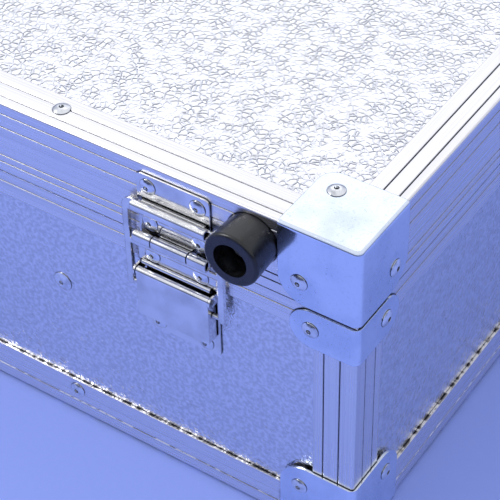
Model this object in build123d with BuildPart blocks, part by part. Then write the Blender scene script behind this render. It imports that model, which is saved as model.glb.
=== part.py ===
"""Aluminium-edged transport case with a hinged lid, draw latches, rubber buffers and a folding handle.

Millimetres, +X to the case's right, +Y to its back, +Z up. The origin is the middle of the overall box's underside.
"""

import os

from build123d import *

os.makedirs("parts", exist_ok=True)

# Overall size, over the rails
LENGTH = 628.0
DEPTH = 330.0
HEIGHT = 183.0
LID_HEIGHT = 40.0
PARTING_GAP = 0.4

# Boards
WALL_BOARD_T = 7.0
LID_BOARD_T = 5.0
FLOOR_BOARD_T = 7.0

# Rails: extrusions with fine V grooves, given by how far each groove is from the rail's edge
RAIL_T = 1.5
RAIL_EDGE_R = 1.4
GROOVE_W = 0.62
LID_FLANGE_W = 19.0
LID_SIDE_GROOVES = (6.0, 13.6, 30.3, 34.5)
LID_TOP_GROOVES = (4.8, 12.3)
RIM_FACE_H = 14.0
RIM_GROOVE = 5.8
RIM_INNER_H = 5.5
TONGUE_T = 1.6
TONGUE_H = 4.0
TONGUE_CLEARANCE = 0.5
BOTTOM_RAIL_H = 22.5
BOTTOM_GROOVE = 8.0
POST_W = 21.0
POST_GROOVES = (8.0, 16.0)
FRAME_CLEARANCE = 1.4

# Corner fittings, pressed from steel sheet
FITTING_T = 1.2
FITTING_EDGE_R = 2.2
FITTING_CORNER_R = 3.6
BRACKET_LEG = 38.0
BRACKET_LOBE_R = 14.0
BRACKET_TOP_R = 8.0
BRACKET_RIVET = 27.5
STRAP_DROP = 1.7
STRAP_H = 20.8
STRAP_RIVET = 22.0

# Blind rivets with an open eye
RIVET_HEAD_R = 4.0
RIVET_BROAD_HEAD_R = 5.0
RIVET_HEAD_H = 1.5
RIVET_LOW_HEAD_H = 1.1
RIVET_RIM_H = 0.35
RIVET_SHOULDER = (0.72, 0.62)
RIVET_EYE_R = 1.15
RIVET_SHANK_R = 2.0
RIVET_HOLE_R = 2.05
RIVET_BULB_R = 2.6
RIVET_BULB_H = 1.5
RIVET_BULB_CLEARANCE = 0.4
TOP_RIVET_INSET = 11.2
BOTTOM_RIVET_RISE = 16.0

# Draw latch: heights are from the parting line, and depths stand out from the front rails' face
LATCH_FROM_END = 90.0
SHEET = 1.2
CATCH_HALF_W = 18.7
CATCH_LOW = 0.5
CATCH_TOP = 35.6
LATCH_CORNER_R = 2.5
LIP_LOW = 16.8
LIP_TOP = 21.2
LIP_PROUD = 2.3
LIP_EDGE_R = 0.88
KEEPER_HALF_W = 20.4
KEEPER_TOP = -0.9
KEEPER_BOTTOM = -55.5
JOGGLE_GAP = 0.4
KEEPER_TAB_KNEE = 0.4
KEEPER_TAB_T = 1.3
KEEPER_TAB_BITE = 0.2
KEEPER_TAB_HALF_W = 8.3
LATCH_RIVET_X = 12.8
CATCH_UPPER_RIVET = 29.6
CATCH_LOWER_RIVET = 9.3
KEEPER_UPPER_RIVET = -9.4
KEEPER_LOWER_RIVET = -50.3
BEAD_CENTRE = (1.6, -14.9)
BEAD_R = 1.4
BEAD_HALF_W = 18.0
CHEEK_R = 2.6
CHEEK_T = 1.0
CHEEK_GAP = 0.3
LEVER_AXIS = (4.3, -18.5)
LEVER_PIN_R = 1.2
LEVER_ROLL_R = 2.2
LEVER_HALF_W = 19.1
LEVER_T = 1.0
LEVER_BOTTOM = -43.5
LEVER_BACK = 0.4
LEVER_FLANGE_TOP = -24.7
LEVER_EDGE_R = 0.7
BAIL_AXIS = (2.6, -27.7)
BAIL_STUB_R = 1.2
BAIL_STUB_END = 17.6
BAIL_HALF_W = 25.7
BAIL_BAR_W = 3.0
BAIL_BAR_T = 2.4
BAIL_BAR_END_R = 1.35
BAIL_TOP = 21.6
BAIL_BOTTOM = -29.7
BAIL_CORNER_R = 5.2
BAIL_FRONT = 3.8
BAIL_TOP_STRIP_LOW = 14.8
BAIL_MID_STRIP = (-4.5, -1.4)
ROLL_R = 2.2
ROLL_WALL = 0.8
ROLL_DEPTH = 4.8
BAIL_ROLL_HALF_W = 19.0
TOP_ROLL_CENTRES = (19.4, 20.4)
MID_ROLL_CENTRES = (1.8, 3.2)
MID_ROLL_HALF_W = 9.1
ROLL_SLIT = 0.6
RUNNING_FIT = 0.05
PRESS_FIT = 0.01

# Rubber buffers on the lid's front
BUFFER_FROM_END = 50.8
BUFFER_RISE = 24.8
BUFFER_LENGTH = 16.7
BUFFER_BASE_R = 12.5
BUFFER_FACE_R = 13.3
BUFFER_EDGE_R = 1.6
BUFFER_HOLE_R = 8.1
BUFFER_FLOOR_T = 4.5
BUFFER_SCREW_R = 2.5
BUFFER_SCREW_HOLE_R = 2.55
BUFFER_WASHER_R = 6.4
BUFFER_WASHER_T = 1.2
BUFFER_HEAD_R = 4.2
BUFFER_HEAD_H = 2.6
BUFFER_SOCKET_W = 3.0
BUFFER_SOCKET_DEPTH = 1.6

# Stop hinges on the back
HINGE_X = 170.0
HINGE_HALF_W = 30.0
HINGE_LEAF_T = 1.5
HINGE_LEAF_H = 28.0
HINGE_AXIS_OUT = 3.0
HINGE_KNUCKLE_R = 2.8
HINGE_PIN_R = 1.5
HINGE_MIDDLE_HALF_W = 14.0
HINGE_GAP = 0.4
HINGE_STOP_ANGLE = 100.0
HINGE_STOP_GAP = 0.3
HINGE_STOP_LENGTH = 6.5
HINGE_RIVET_X = (-20.0, 0.0, 20.0)
HINGE_LID_RIVET = 16.0
HINGE_RIVET_BELOW_RIM = 8.0

# Folding handle in the middle of the front panel
HANDLE_DROP = 38.0
HANDLE_PLATE_W = 176.0
HANDLE_PLATE_H = 30.0
HANDLE_PLATE_T = 1.5
HANDLE_PLATE_R = 5.0
HANDLE_EAR_X = 64.0
HANDLE_EAR_T = 4.0
HANDLE_EAR_R = 6.5
HANDLE_AXIS_OUT = 8.0
HANDLE_ROD_R = 3.5
HANDLE_ROD_BEND_R = 9.0
HANDLE_ROD_FIT = 0.1
HANDLE_STUB_END = 68.0
HANDLE_LEG_X = 53.0
HANDLE_LEG_DROP = 36.0
HANDLE_GRIP_R = 7.2
HANDLE_GRIP_HALF_L = 42.0
HANDLE_GRIP_EDGE_R = 1.44
HANDLE_RIVET_X = 80.0
HANDLE_RIVET_Z = 9.0

# Inside: a bent sheet divider, a foam bed with the tool's recess, and foam in the lid
DIVIDER_T = 2.0
DIVIDER_FLANGE_W = 16.0
DIVIDER_RIVET_DROP = 96.0
DIVIDER_RIVET_SHIFT = 2.5
DIVIDER_TOP_DROP = 50.0
LID_FOAM_T = 20.0
LID_FOAM_INSET = 14.5
BED_T = 72.0
BED_INSET = 11.5
BED_GAP = 1.0
RECESS_DEPTH = 55.0
RECESS_CORNER_R = 14.0
RECESS_LENGTH = 390.0
RECESS_WIDTH = 110.0
RECESS_GRIP_LENGTH = 100.0
RECESS_GRIP_WIDTH = 250.0

# Levels and faces worked out from the sizes above
HINGE_PROUD = HINGE_AXIS_OUT + HINGE_STOP_LENGTH
Y_SHIFT = (BUFFER_LENGTH - HINGE_PROUD) / 2
Y_FRONT = Y_SHIFT - DEPTH / 2
Y_BACK = Y_SHIFT + DEPTH / 2
Z_RAIL = FITTING_T
Z_TOP = Z_RAIL + HEIGHT
Z_PARTING = Z_TOP - LID_HEIGHT
Z_RIM = Z_PARTING - PARTING_GAP
Z_MIDDLE = Z_PARTING - PARTING_GAP / 2
Z_RIM_LOW = Z_RIM - RIM_FACE_H
Z_POST_LOW = Z_RAIL + BOTTOM_RAIL_H
Z_INSIDE = Z_RAIL + RAIL_T + FLOOR_BOARD_T
Z_LID_BOARD = Z_TOP - RAIL_T - LID_BOARD_T
Z_HANDLE = Z_RIM_LOW - HANDLE_DROP
WALL_DEPTH = RAIL_T + WALL_BOARD_T
LATCH_X = LENGTH / 2 - LATCH_FROM_END
BUFFER_X = LENGTH / 2 - BUFFER_FROM_END
RIVET_X = LENGTH / 4
BAIL_BACK = BAIL_FRONT - SHEET

# Each wall's plane stands on its rails' face: x runs along the wall, y is up and z is outward
WALLS = {
    "front": (Plane((0, Y_FRONT, 0), x_dir=(1, 0, 0), z_dir=(0, -1, 0)), LENGTH / 2),
    "right": (Plane((LENGTH / 2, Y_SHIFT, 0), x_dir=(0, 1, 0), z_dir=(1, 0, 0)), DEPTH / 2),
    "back": (Plane((0, Y_BACK, 0), x_dir=(-1, 0, 0), z_dir=(0, 1, 0)), LENGTH / 2),
    "left": (Plane((-LENGTH / 2, Y_SHIFT, 0), x_dir=(0, -1, 0), z_dir=(-1, 0, 0)), DEPTH / 2),
}
TOP_FACE = Plane((0, Y_SHIFT, Z_TOP))
CORNERS = {
    "front_left": (-1, -1),
    "front_right": (1, -1),
    "back_left": (-1, 1),
    "back_right": (1, 1),
}
SIDES = {"left": -1, "right": 1}


def save(builder, name):
    """Labels a finished sub-part and writes it as one STEP file."""
    builder.part.label = name
    export_step(builder.part, f"parts/{name}.step")


def on_plane(plane, x, y, out):
    """The plane through a point of another plane, with the same directions."""
    return Plane(plane.from_local_coords((x, y, out)), x_dir=plane.x_dir, z_dir=plane.z_dir)


def on_wall(wall, x, y, out):
    return on_plane(WALLS[wall][0], x, y, out)


def across(wall, along=0.0, level=0.0):
    """The plane square to a wall, whose x stands outward from its rails' face and whose y is up."""
    plane = WALLS[wall][0]
    return Plane(plane.from_local_coords((along, level, 0)), x_dir=plane.z_dir, z_dir=-plane.x_dir)


def slab(x_low, x_high, y_low, y_high, mode=Mode.ADD):
    """A rectangle of the sketch in hand between two corners."""
    with Locations(((x_low + x_high) / 2, (y_low + y_high) / 2)):
        Rectangle(x_high - x_low, y_high - y_low, mode=mode)


def outline(*points):
    """A polygon of the sketch in hand, where its points stand."""
    Polygon(*points, align=None)


def obround(x, y_centres, radius, mode=Mode.ADD):
    """An upright obround of the sketch in hand, between two centres."""
    low, high = y_centres
    slab(x - radius, x + radius, low, high, mode)
    with Locations((x, low), (x, high)):
        Circle(radius, mode=mode)


def grooves(places):
    """V grooves cut into the sketch in hand, each centred on the face that it opens from."""
    with Locations(*places):
        Rectangle(GROOVE_W, GROOVE_W, rotation=45, mode=Mode.SUBTRACT)


def soften(sketch, corner, radius):
    """Rounds the corner of the sketch in hand that is nearest to a point of its own plane."""
    fillet(sketch.vertices().sort_by_distance((*corner, 0))[0], radius)


def mitre(wall):
    """Cuts both ends of the rail in hand at 45 degrees, where it meets its neighbours."""
    plane, half = WALLS[wall]
    for end in (-1, 1):
        corner = plane.from_local_coords((end * half, 0, 0))
        split(bisect_by=Plane(corner, z_dir=plane.x_dir * end - plane.z_dir), keep=Keep.BOTTOM)


def wall_box(wall, x_low, x_high, y_low, y_high, out_low, out_high):
    """A box of the part in hand, given in a wall's own directions."""
    middle = on_wall(wall, (x_low + x_high) / 2, (y_low + y_high) / 2, (out_low + out_high) / 2)
    with Locations(middle.location):
        Box(x_high - x_low, y_high - y_low, out_high - out_low)


def drill(sites, radius=RIVET_HOLE_R, reach=15.0):
    """Drills the part in hand at fastener sites, both ways from each seat."""
    for seat, _ in sites:
        with Locations(seat.location):
            Cylinder(radius, 2 * reach, mode=Mode.SUBTRACT)


def wall_site(wall, x, z, seat, grip=None):
    """A fastener's seat on a wall, facing outward, and the thickness that it grips."""
    return on_wall(wall, x, z, seat), grip or seat + WALL_DEPTH


def top_site(x, y, seat):
    """A fastener's seat on the lid's top, facing up, and the thickness that it grips."""
    return on_plane(TOP_FACE, x, y, seat), seat + RAIL_T + LID_BOARD_T


def corner_sites(z, from_end):
    """The seats of the corner fittings' rivets, two on each wall."""
    return {
        wall: [wall_site(wall, end * (half - from_end), z, FITTING_T) for end in (-1, 1)]
        for wall, (_, half) in WALLS.items()
    }


def latch_sites(height, seat):
    """A pair of seats on both latches, at a height from the parting line."""
    return [
        wall_site("front", side * LATCH_X + x, Z_MIDDLE + height, seat)
        for side in SIDES.values()
        for x in (-LATCH_RIVET_X, LATCH_RIVET_X)
    ]


def hinge_sites(height, seat):
    """Three seats on both hinges, at a height from the parting line."""
    return [
        wall_site("back", side * HINGE_X + x, Z_MIDDLE + height, seat)
        for side in SIDES.values()
        for x in HINGE_RIVET_X
    ]


def rail_sites(z):
    """Seats along the rails: a quarter of the length apart on the long walls and midway on the short ones."""
    return {
        wall: [wall_site(wall, x, z, 0) for x in ((-RIVET_X, 0, RIVET_X) if wall in ("front", "back") else (0,))]
        for wall in WALLS
    }


def all_of(by_wall):
    return [site for sites in by_wall.values() for site in sites]


LID_CORNER_SITES = corner_sites(Z_TOP - BRACKET_RIVET, BRACKET_RIVET)
STRAP_SITES = corner_sites(Z_PARTING - STRAP_DROP - STRAP_H / 2, STRAP_RIVET)
BOTTOM_CORNER_SITES = corner_sites(Z_RAIL + BRACKET_RIVET, BRACKET_RIVET)
BOTTOM_RAIL_SITES = rail_sites(Z_RAIL + BOTTOM_RIVET_RISE)
TOP_CORNER_SITES = [
    top_site(x * (LENGTH / 2 - BRACKET_RIVET), y * (DEPTH / 2 - BRACKET_RIVET), FITTING_T)
    for x, y in CORNERS.values()
]
TOP_RAIL_SITES = {
    "front": [top_site(x, TOP_RIVET_INSET - DEPTH / 2, 0) for x in (-RIVET_X, 0, RIVET_X)],
    "back": [top_site(x, DEPTH / 2 - TOP_RIVET_INSET, 0) for x in (-RIVET_X, 0, RIVET_X)],
    "left": [top_site(TOP_RIVET_INSET - LENGTH / 2, 0, 0)],
    "right": [top_site(LENGTH / 2 - TOP_RIVET_INSET, 0, 0)],
}
CATCH_UPPER_SITES = latch_sites(CATCH_UPPER_RIVET, SHEET)
CATCH_LOWER_SITES = latch_sites(CATCH_LOWER_RIVET, SHEET)
KEEPER_UPPER_SITES = latch_sites(KEEPER_UPPER_RIVET, SHEET)
KEEPER_LOWER_SITES = latch_sites(KEEPER_LOWER_RIVET, SHEET - RAIL_T)
LID_HINGE_SITES = hinge_sites(HINGE_LID_RIVET, HINGE_LEAF_T)
BASE_HINGE_SITES = hinge_sites(-RIM_FACE_H - HINGE_RIVET_BELOW_RIM, HINGE_LEAF_T - RAIL_T)
HANDLE_SITES = [
    wall_site("front", x, Z_HANDLE + z, HANDLE_PLATE_T - RAIL_T)
    for x in (-HANDLE_RIVET_X, HANDLE_RIVET_X)
    for z in (-HANDLE_RIVET_Z, HANDLE_RIVET_Z)
]
DIVIDER_GRIP = WALL_BOARD_T + DIVIDER_T
DIVIDER_RIVET_X = RIVET_X - DIVIDER_RIVET_SHIFT
DIVIDER_SITES = {
    "front": [wall_site("front", DIVIDER_RIVET_X, Z_TOP - DIVIDER_RIVET_DROP, -RAIL_T, DIVIDER_GRIP)],
    "back": [wall_site("back", -DIVIDER_RIVET_X, Z_TOP - DIVIDER_RIVET_DROP, -RAIL_T, DIVIDER_GRIP)],
}
BUFFER_SITES = [
    wall_site("front", side * BUFFER_X, Z_PARTING + BUFFER_RISE, BUFFER_FLOOR_T) for side in SIDES.values()
]
WALL_SITES = {
    wall: STRAP_SITES[wall] + BOTTOM_CORNER_SITES[wall] + BOTTOM_RAIL_SITES[wall] + DIVIDER_SITES.get(wall, [])
    for wall in WALLS
}
WALL_SITES["front"] += KEEPER_UPPER_SITES + KEEPER_LOWER_SITES + HANDLE_SITES
WALL_SITES["back"] += BASE_HINGE_SITES


# Lid: board, inner frame and rails
with BuildPart() as lid_panel:
    with BuildSketch(Plane((0, Y_SHIFT, Z_LID_BOARD))):
        Rectangle(LENGTH - 2 * RAIL_T, DEPTH - 2 * RAIL_T)
    extrude(amount=LID_BOARD_T)
    drill(all_of(TOP_RAIL_SITES) + TOP_CORNER_SITES)
save(lid_panel, "lid_panel")

with BuildPart() as lid_frame:
    frame_low = Z_PARTING + TONGUE_H + FRAME_CLEARANCE - PARTING_GAP
    for wall, (_, half) in WALLS.items():
        reach = half - (RAIL_T if wall in ("front", "back") else WALL_DEPTH)
        wall_box(wall, -reach, reach, frame_low, Z_LID_BOARD, -WALL_DEPTH, -RAIL_T)
    drill(all_of(LID_CORNER_SITES) + CATCH_UPPER_SITES + CATCH_LOWER_SITES + LID_HINGE_SITES)
    drill(BUFFER_SITES, BUFFER_SCREW_R)
save(lid_frame, "lid_frame")

for wall, (_, half) in WALLS.items():
    with BuildPart() as lid_rail:
        with BuildSketch(across(wall)) as section:
            slab(-RAIL_T, 0, Z_PARTING, Z_TOP)
            slab(-LID_FLANGE_W, 0, Z_TOP - RAIL_T, Z_TOP)
            soften(section, (0, Z_TOP), RAIL_EDGE_R)
            grooves([(0, Z_TOP - drop) for drop in LID_SIDE_GROOVES])
            grooves([(-inset, Z_TOP) for inset in LID_TOP_GROOVES])
        extrude(amount=half, both=True)
        mitre(wall)
        drill(LID_CORNER_SITES[wall] + TOP_RAIL_SITES[wall])
        if wall == "front":
            drill(CATCH_UPPER_SITES + CATCH_LOWER_SITES)
            drill(BUFFER_SITES, BUFFER_SCREW_HOLE_R)
        if wall == "back":
            drill(LID_HINGE_SITES)
    save(lid_rail, f"lid_rail_{wall}")

# Base: boards, rim rails with the lid's tongue, bottom rails and corner posts
with BuildPart() as floor_panel:
    with BuildSketch(Plane((0, Y_SHIFT, Z_RAIL + RAIL_T))):
        Rectangle(LENGTH - 2 * RAIL_T, DEPTH - 2 * RAIL_T)
    extrude(amount=FLOOR_BOARD_T)
save(floor_panel, "floor_panel")

for wall, (_, half) in WALLS.items():
    with BuildPart() as panel:
        reach = half - (RAIL_T if wall in ("front", "back") else WALL_DEPTH)
        wall_box(wall, -reach, reach, Z_INSIDE, Z_RIM - RAIL_T, -WALL_DEPTH, -RAIL_T)
        drill(WALL_SITES[wall])
    save(panel, f"{wall}_panel")

    with BuildPart() as rim_rail:
        with BuildSketch(across(wall)):
            slab(-RAIL_T, 0, Z_RIM_LOW, Z_RIM)
            slab(-WALL_DEPTH - RAIL_T, 0, Z_RIM - RAIL_T, Z_RIM)
            slab(-WALL_DEPTH - RAIL_T, -WALL_DEPTH, Z_RIM - RIM_INNER_H, Z_RIM)
            tongue_face = -RAIL_T - TONGUE_CLEARANCE
            slab(tongue_face - TONGUE_T, tongue_face, Z_RIM - RAIL_T, Z_RIM + TONGUE_H)
            grooves([(0, Z_RIM - RIM_GROOVE)])
        extrude(amount=half, both=True)
        mitre(wall)
        drill(STRAP_SITES[wall])
        if wall == "front":
            drill(KEEPER_UPPER_SITES)
    save(rim_rail, f"rim_rail_{wall}")

    with BuildPart() as bottom_rail:
        with BuildSketch(across(wall)) as section:
            slab(-RAIL_T, 0, Z_RAIL, Z_POST_LOW)
            slab(-BOTTOM_RAIL_H, 0, Z_RAIL, Z_RAIL + RAIL_T)
            soften(section, (0, Z_RAIL), RAIL_EDGE_R)
            grooves([(0, Z_RAIL + BOTTOM_GROOVE), (-BOTTOM_GROOVE, Z_RAIL)])
        extrude(amount=half, both=True)
        mitre(wall)
        drill(BOTTOM_RAIL_SITES[wall])
    save(bottom_rail, f"bottom_rail_{wall}")

for corner, (sx, sy) in CORNERS.items():
    with BuildPart() as post:
        with BuildSketch(Plane((sx * LENGTH / 2, Y_SHIFT + sy * DEPTH / 2, Z_POST_LOW))) as section:
            slab(*sorted((0, -sx * POST_W)), *sorted((0, -sy * RAIL_T)))
            slab(*sorted((0, -sx * RAIL_T)), *sorted((0, -sy * POST_W)))
            soften(section, (0, 0), RAIL_EDGE_R)
            grooves([(-sx * inset, 0) for inset in POST_GROOVES])
            grooves([(0, -sy * inset) for inset in POST_GROOVES])
        extrude(amount=Z_RIM_LOW - Z_POST_LOW)
        drill(all_of(STRAP_SITES) + all_of(BOTTOM_CORNER_SITES))
    save(post, f"post_{corner}")


# Corner fittings
def corner_legs(corner):
    """The two walls that meet at a corner, each with the end of it that the corner is at."""
    sx, sy = CORNERS[corner]
    return (
        ("front" if sy < 0 else "back", -sx * sy),
        ("right" if sx > 0 else "left", sx * sy),
    )


def bracket(corner, z_near, z_far, sites):
    """Three-faced bracket over a corner of the case, from its top or underside to a far level."""
    sx, sy = CORNERS[corner]
    up = 1 if z_near > z_far else -1
    x_case, y_case = sx * LENGTH / 2, Y_SHIFT + sy * DEPTH / 2
    with BuildPart() as shell:
        for wall, end in corner_legs(corner):
            half = WALLS[wall][1]
            with BuildSketch(on_wall(wall, 0, 0, 0)) as leg:
                slab(
                    *sorted((end * (half - BRACKET_LEG), end * (half + FITTING_T))),
                    *sorted((z_near + up * FITTING_T, z_far)),
                )
                soften(leg, (end * (half - BRACKET_LEG), z_far), BRACKET_LOBE_R)
            extrude(amount=FITTING_T)
        with BuildSketch(Plane((x_case, y_case, z_near))) as cap:
            slab(*sorted((sx * FITTING_T, -sx * BRACKET_LEG)), *sorted((sy * FITTING_T, -sy * BRACKET_LEG)))
            soften(cap, (-sx * BRACKET_LEG, -sy * BRACKET_LEG), BRACKET_TOP_R)
        extrude(amount=up * FITTING_T)
        tip = Vertex(x_case + sx * FITTING_T, y_case + sy * FITTING_T, z_near + up * FITTING_T)
        fillet(shell.edges().sort_by_distance(tip)[:3].filter_by(Axis.Z), FITTING_CORNER_R)
        rim = shell.edges().filter_by_position(Axis.Z, tip.Z - 0.01, tip.Z + 0.01).sort_by_distance(tip)[:3]
        fillet(rim, FITTING_EDGE_R)
        drill(sites)
    return shell


for corner in CORNERS:
    lid_corner = bracket(corner, Z_TOP, Z_PARTING, all_of(LID_CORNER_SITES) + TOP_CORNER_SITES)
    save(lid_corner, f"lid_corner_{corner}")
    bottom_corner = bracket(corner, Z_RAIL, Z_RAIL + LID_HEIGHT, all_of(BOTTOM_CORNER_SITES))
    save(bottom_corner, f"bottom_corner_{corner}")

    with BuildPart() as strap:
        strap_z = Z_PARTING - STRAP_DROP - STRAP_H / 2
        for wall, end in corner_legs(corner):
            half = WALLS[wall][1]
            with BuildSketch(on_wall(wall, 0, strap_z, 0)):
                slab(*sorted((end * (half - STRAP_RIVET), end * (half + FITTING_T))), -STRAP_H / 2, STRAP_H / 2)
                with Locations((end * (half - STRAP_RIVET), 0)):
                    Circle(STRAP_H / 2)
            extrude(amount=FITTING_T)
        sx, sy = CORNERS[corner]
        bend = Vertex(sx * (LENGTH / 2 + FITTING_T), Y_SHIFT + sy * (DEPTH / 2 + FITTING_T), strap_z)
        fillet(strap.edges().filter_by(Axis.Z).sort_by_distance(bend)[0], FITTING_CORNER_R)
        drill(all_of(STRAP_SITES))
    save(strap, f"corner_strap_{corner}")


# Latches
def latch_section(side, u=0.0):
    """The plane across a latch: x stands out from the rails' face and y is up from the parting line."""
    return across("front", SIDES[side] * LATCH_X + u, Z_MIDDLE)


def latch_face(side, depth):
    """The plane along a latch at some depth: x is from its middle and y is up from the parting line."""
    return on_wall("front", SIDES[side] * LATCH_X, Z_MIDDLE, depth)


for side in SIDES:
    with BuildPart() as catch_plate:
        with BuildSketch(latch_face(side, 0)) as face:
            slab(-CATCH_HALF_W, CATCH_HALF_W, CATCH_LOW, CATCH_TOP)
            fillet(face.vertices(), LATCH_CORNER_R)
        extrude(amount=SHEET)
        with BuildSketch(latch_section(side)) as section:
            slab(0, LIP_PROUD, LIP_LOW, LIP_TOP)
            soften(section, (LIP_PROUD, LIP_TOP), LIP_EDGE_R)
        extrude(amount=CATCH_HALF_W - LATCH_CORNER_R, both=True)
        drill(CATCH_UPPER_SITES + CATCH_LOWER_SITES)
    save(catch_plate, f"latch_catch_plate_{side}")

    with BuildPart() as keeper_plate:
        rim_low = Z_RIM_LOW - Z_MIDDLE
        with BuildSketch(latch_section(side)):
            outline(
                (0, KEEPER_TOP),
                (SHEET, KEEPER_TOP),
                (SHEET, rim_low),
                (SHEET - RAIL_T, rim_low - RAIL_T),
                (SHEET - RAIL_T, KEEPER_BOTTOM),
                (-RAIL_T, KEEPER_BOTTOM),
                (-RAIL_T, rim_low - RAIL_T - JOGGLE_GAP),
                (0, rim_low - JOGGLE_GAP),
            )
        extrude(amount=KEEPER_HALF_W, both=True)
        fillet(keeper_plate.edges().filter_by(Axis.Y).group_by(Axis.Z)[0], LATCH_CORNER_R)
        with BuildSketch(latch_section(side)):
            tab_front = ROLL_DEPTH - ROLL_R + KEEPER_TAB_BITE
            tab_back = tab_front - KEEPER_TAB_T
            outline(
                (0, KEEPER_TOP - 2 * SHEET),
                (0, KEEPER_TOP),
                (tab_back, KEEPER_TAB_KNEE),
                (tab_back, MID_ROLL_CENTRES[1]),
                (tab_front, MID_ROLL_CENTRES[1]),
                (tab_front, KEEPER_TAB_KNEE - SHEET / 2),
                (SHEET, KEEPER_TOP - SHEET / 2),
                (SHEET, KEEPER_TOP - 2 * SHEET),
            )
        extrude(amount=KEEPER_TAB_HALF_W, both=True)
        with BuildSketch(latch_section(side)):
            obround(ROLL_DEPTH, MID_ROLL_CENTRES, ROLL_R)
        extrude(amount=MID_ROLL_HALF_W, both=True)
        with BuildSketch(latch_section(side)):
            obround(ROLL_DEPTH, MID_ROLL_CENTRES, ROLL_R - ROLL_WALL)
        extrude(amount=MID_ROLL_HALF_W, both=True, mode=Mode.SUBTRACT)
        with BuildSketch(latch_section(side)):
            with Locations(BEAD_CENTRE):
                Circle(BEAD_R)
        extrude(amount=BEAD_HALF_W, both=True)
        for cheek_side in (-1, 1):
            cheek_u = cheek_side * (KEEPER_HALF_W - CHEEK_T / 2)
            with BuildSketch(latch_section(side, cheek_u)):
                slab(0, LEVER_AXIS[0], LEVER_AXIS[1] - CHEEK_R, LEVER_AXIS[1] + CHEEK_R)
                slab(SHEET - RAIL_T, 0, LEVER_AXIS[1] - CHEEK_R, rim_low - RAIL_T)
                with Locations(LEVER_AXIS):
                    Circle(CHEEK_R)
            extrude(amount=CHEEK_T / 2, both=True)
        with BuildSketch(latch_section(side)):
            with Locations(LEVER_AXIS):
                Circle(LEVER_PIN_R + PRESS_FIT)
        extrude(amount=KEEPER_HALF_W, both=True, mode=Mode.SUBTRACT)
        drill(KEEPER_UPPER_SITES + KEEPER_LOWER_SITES)
    save(keeper_plate, f"latch_keeper_plate_{side}")

    with BuildPart() as lever:
        lever_front = LEVER_AXIS[0] + LEVER_ROLL_R
        with BuildSketch(latch_section(side)):
            outline(
                (lever_front, LEVER_AXIS[1]),
                (lever_front, LEVER_BOTTOM),
                (LEVER_BACK, LEVER_BOTTOM),
                (LEVER_BACK, LEVER_FLANGE_TOP),
                (LEVER_AXIS[0] - LEVER_ROLL_R, LEVER_AXIS[1]),
            )
        extrude(amount=LEVER_HALF_W, both=True)
        fillet(lever.edges().group_by(Axis.Y)[0].filter_by(Axis.Z), LEVER_EDGE_R)
        fillet(lever.edges().filter_by(Axis.X).group_by(Axis.Z)[0].sort_by(Axis.Y)[0], LEVER_EDGE_R)
        with BuildSketch(latch_section(side)):
            with Locations(LEVER_AXIS):
                Circle(LEVER_ROLL_R)
        extrude(amount=LEVER_HALF_W, both=True)
        with BuildSketch(latch_section(side)):
            slab(
                LEVER_BACK - LEVER_T,
                lever_front - LEVER_T,
                LEVER_BOTTOM + LEVER_T,
                LEVER_AXIS[1] - LEVER_ROLL_R,
            )
        extrude(amount=LEVER_HALF_W - LEVER_T, both=True, mode=Mode.SUBTRACT)
        for centre, radius in ((LEVER_AXIS, LEVER_PIN_R), (BAIL_AXIS, BAIL_STUB_R)):
            with BuildSketch(latch_section(side)):
                with Locations(centre):
                    Circle(radius + RUNNING_FIT)
            extrude(amount=LEVER_HALF_W, both=True, mode=Mode.SUBTRACT)
    save(lever, f"latch_lever_{side}")

    with BuildPart() as bail:
        bar_inner = BAIL_HALF_W - BAIL_BAR_W
        with BuildSketch(latch_face(side, BAIL_BACK)) as face:
            slab(-BAIL_HALF_W, BAIL_HALF_W, BAIL_TOP_STRIP_LOW, BAIL_TOP)
            for end in (-1, 1):
                soften(face, (end * BAIL_HALF_W, BAIL_TOP), BAIL_CORNER_R)
            slab(-bar_inner, bar_inner, *BAIL_MID_STRIP)
            for end in (-1, 1):
                slab(
                    *sorted((end * (MID_ROLL_HALF_W + ROLL_SLIT), end * BAIL_ROLL_HALF_W)),
                    BAIL_MID_STRIP[0],
                    MID_ROLL_CENTRES[1],
                )
        extrude(amount=SHEET)
        with BuildSketch(latch_face(side, BAIL_FRONT - BAIL_BAR_T)) as face:
            for end in (-1, 1):
                slab(*sorted((end * bar_inner, end * BAIL_HALF_W)), BAIL_BOTTOM, BAIL_TOP - BAIL_CORNER_R)
            fillet(face.vertices().group_by(Axis.Y)[0], BAIL_BAR_END_R)
        extrude(amount=BAIL_BAR_T)
        with BuildSketch(latch_section(side)):
            obround(ROLL_DEPTH, TOP_ROLL_CENTRES, ROLL_R)
        extrude(amount=BAIL_ROLL_HALF_W, both=True)
        with BuildSketch(latch_section(side)):
            obround(ROLL_DEPTH, TOP_ROLL_CENTRES, ROLL_R - ROLL_WALL)
        extrude(amount=BAIL_ROLL_HALF_W, both=True, mode=Mode.SUBTRACT)
        knuckle_w = BAIL_ROLL_HALF_W - MID_ROLL_HALF_W - ROLL_SLIT
        for end in (-1, 1):
            knuckle_u = end * (BAIL_ROLL_HALF_W - knuckle_w / 2)
            with BuildSketch(latch_section(side, knuckle_u)):
                obround(ROLL_DEPTH, MID_ROLL_CENTRES, ROLL_R)
            extrude(amount=knuckle_w / 2, both=True)
            with BuildSketch(latch_section(side, knuckle_u)):
                obround(ROLL_DEPTH, MID_ROLL_CENTRES, ROLL_R - ROLL_WALL)
            extrude(amount=knuckle_w / 2, both=True, mode=Mode.SUBTRACT)
            with BuildSketch(latch_section(side, end * (bar_inner + BAIL_STUB_END) / 2)):
                with Locations(BAIL_AXIS):
                    Circle(BAIL_STUB_R)
            extrude(amount=(bar_inner - BAIL_STUB_END) / 2, both=True)
    save(bail, f"latch_bail_{side}")

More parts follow.
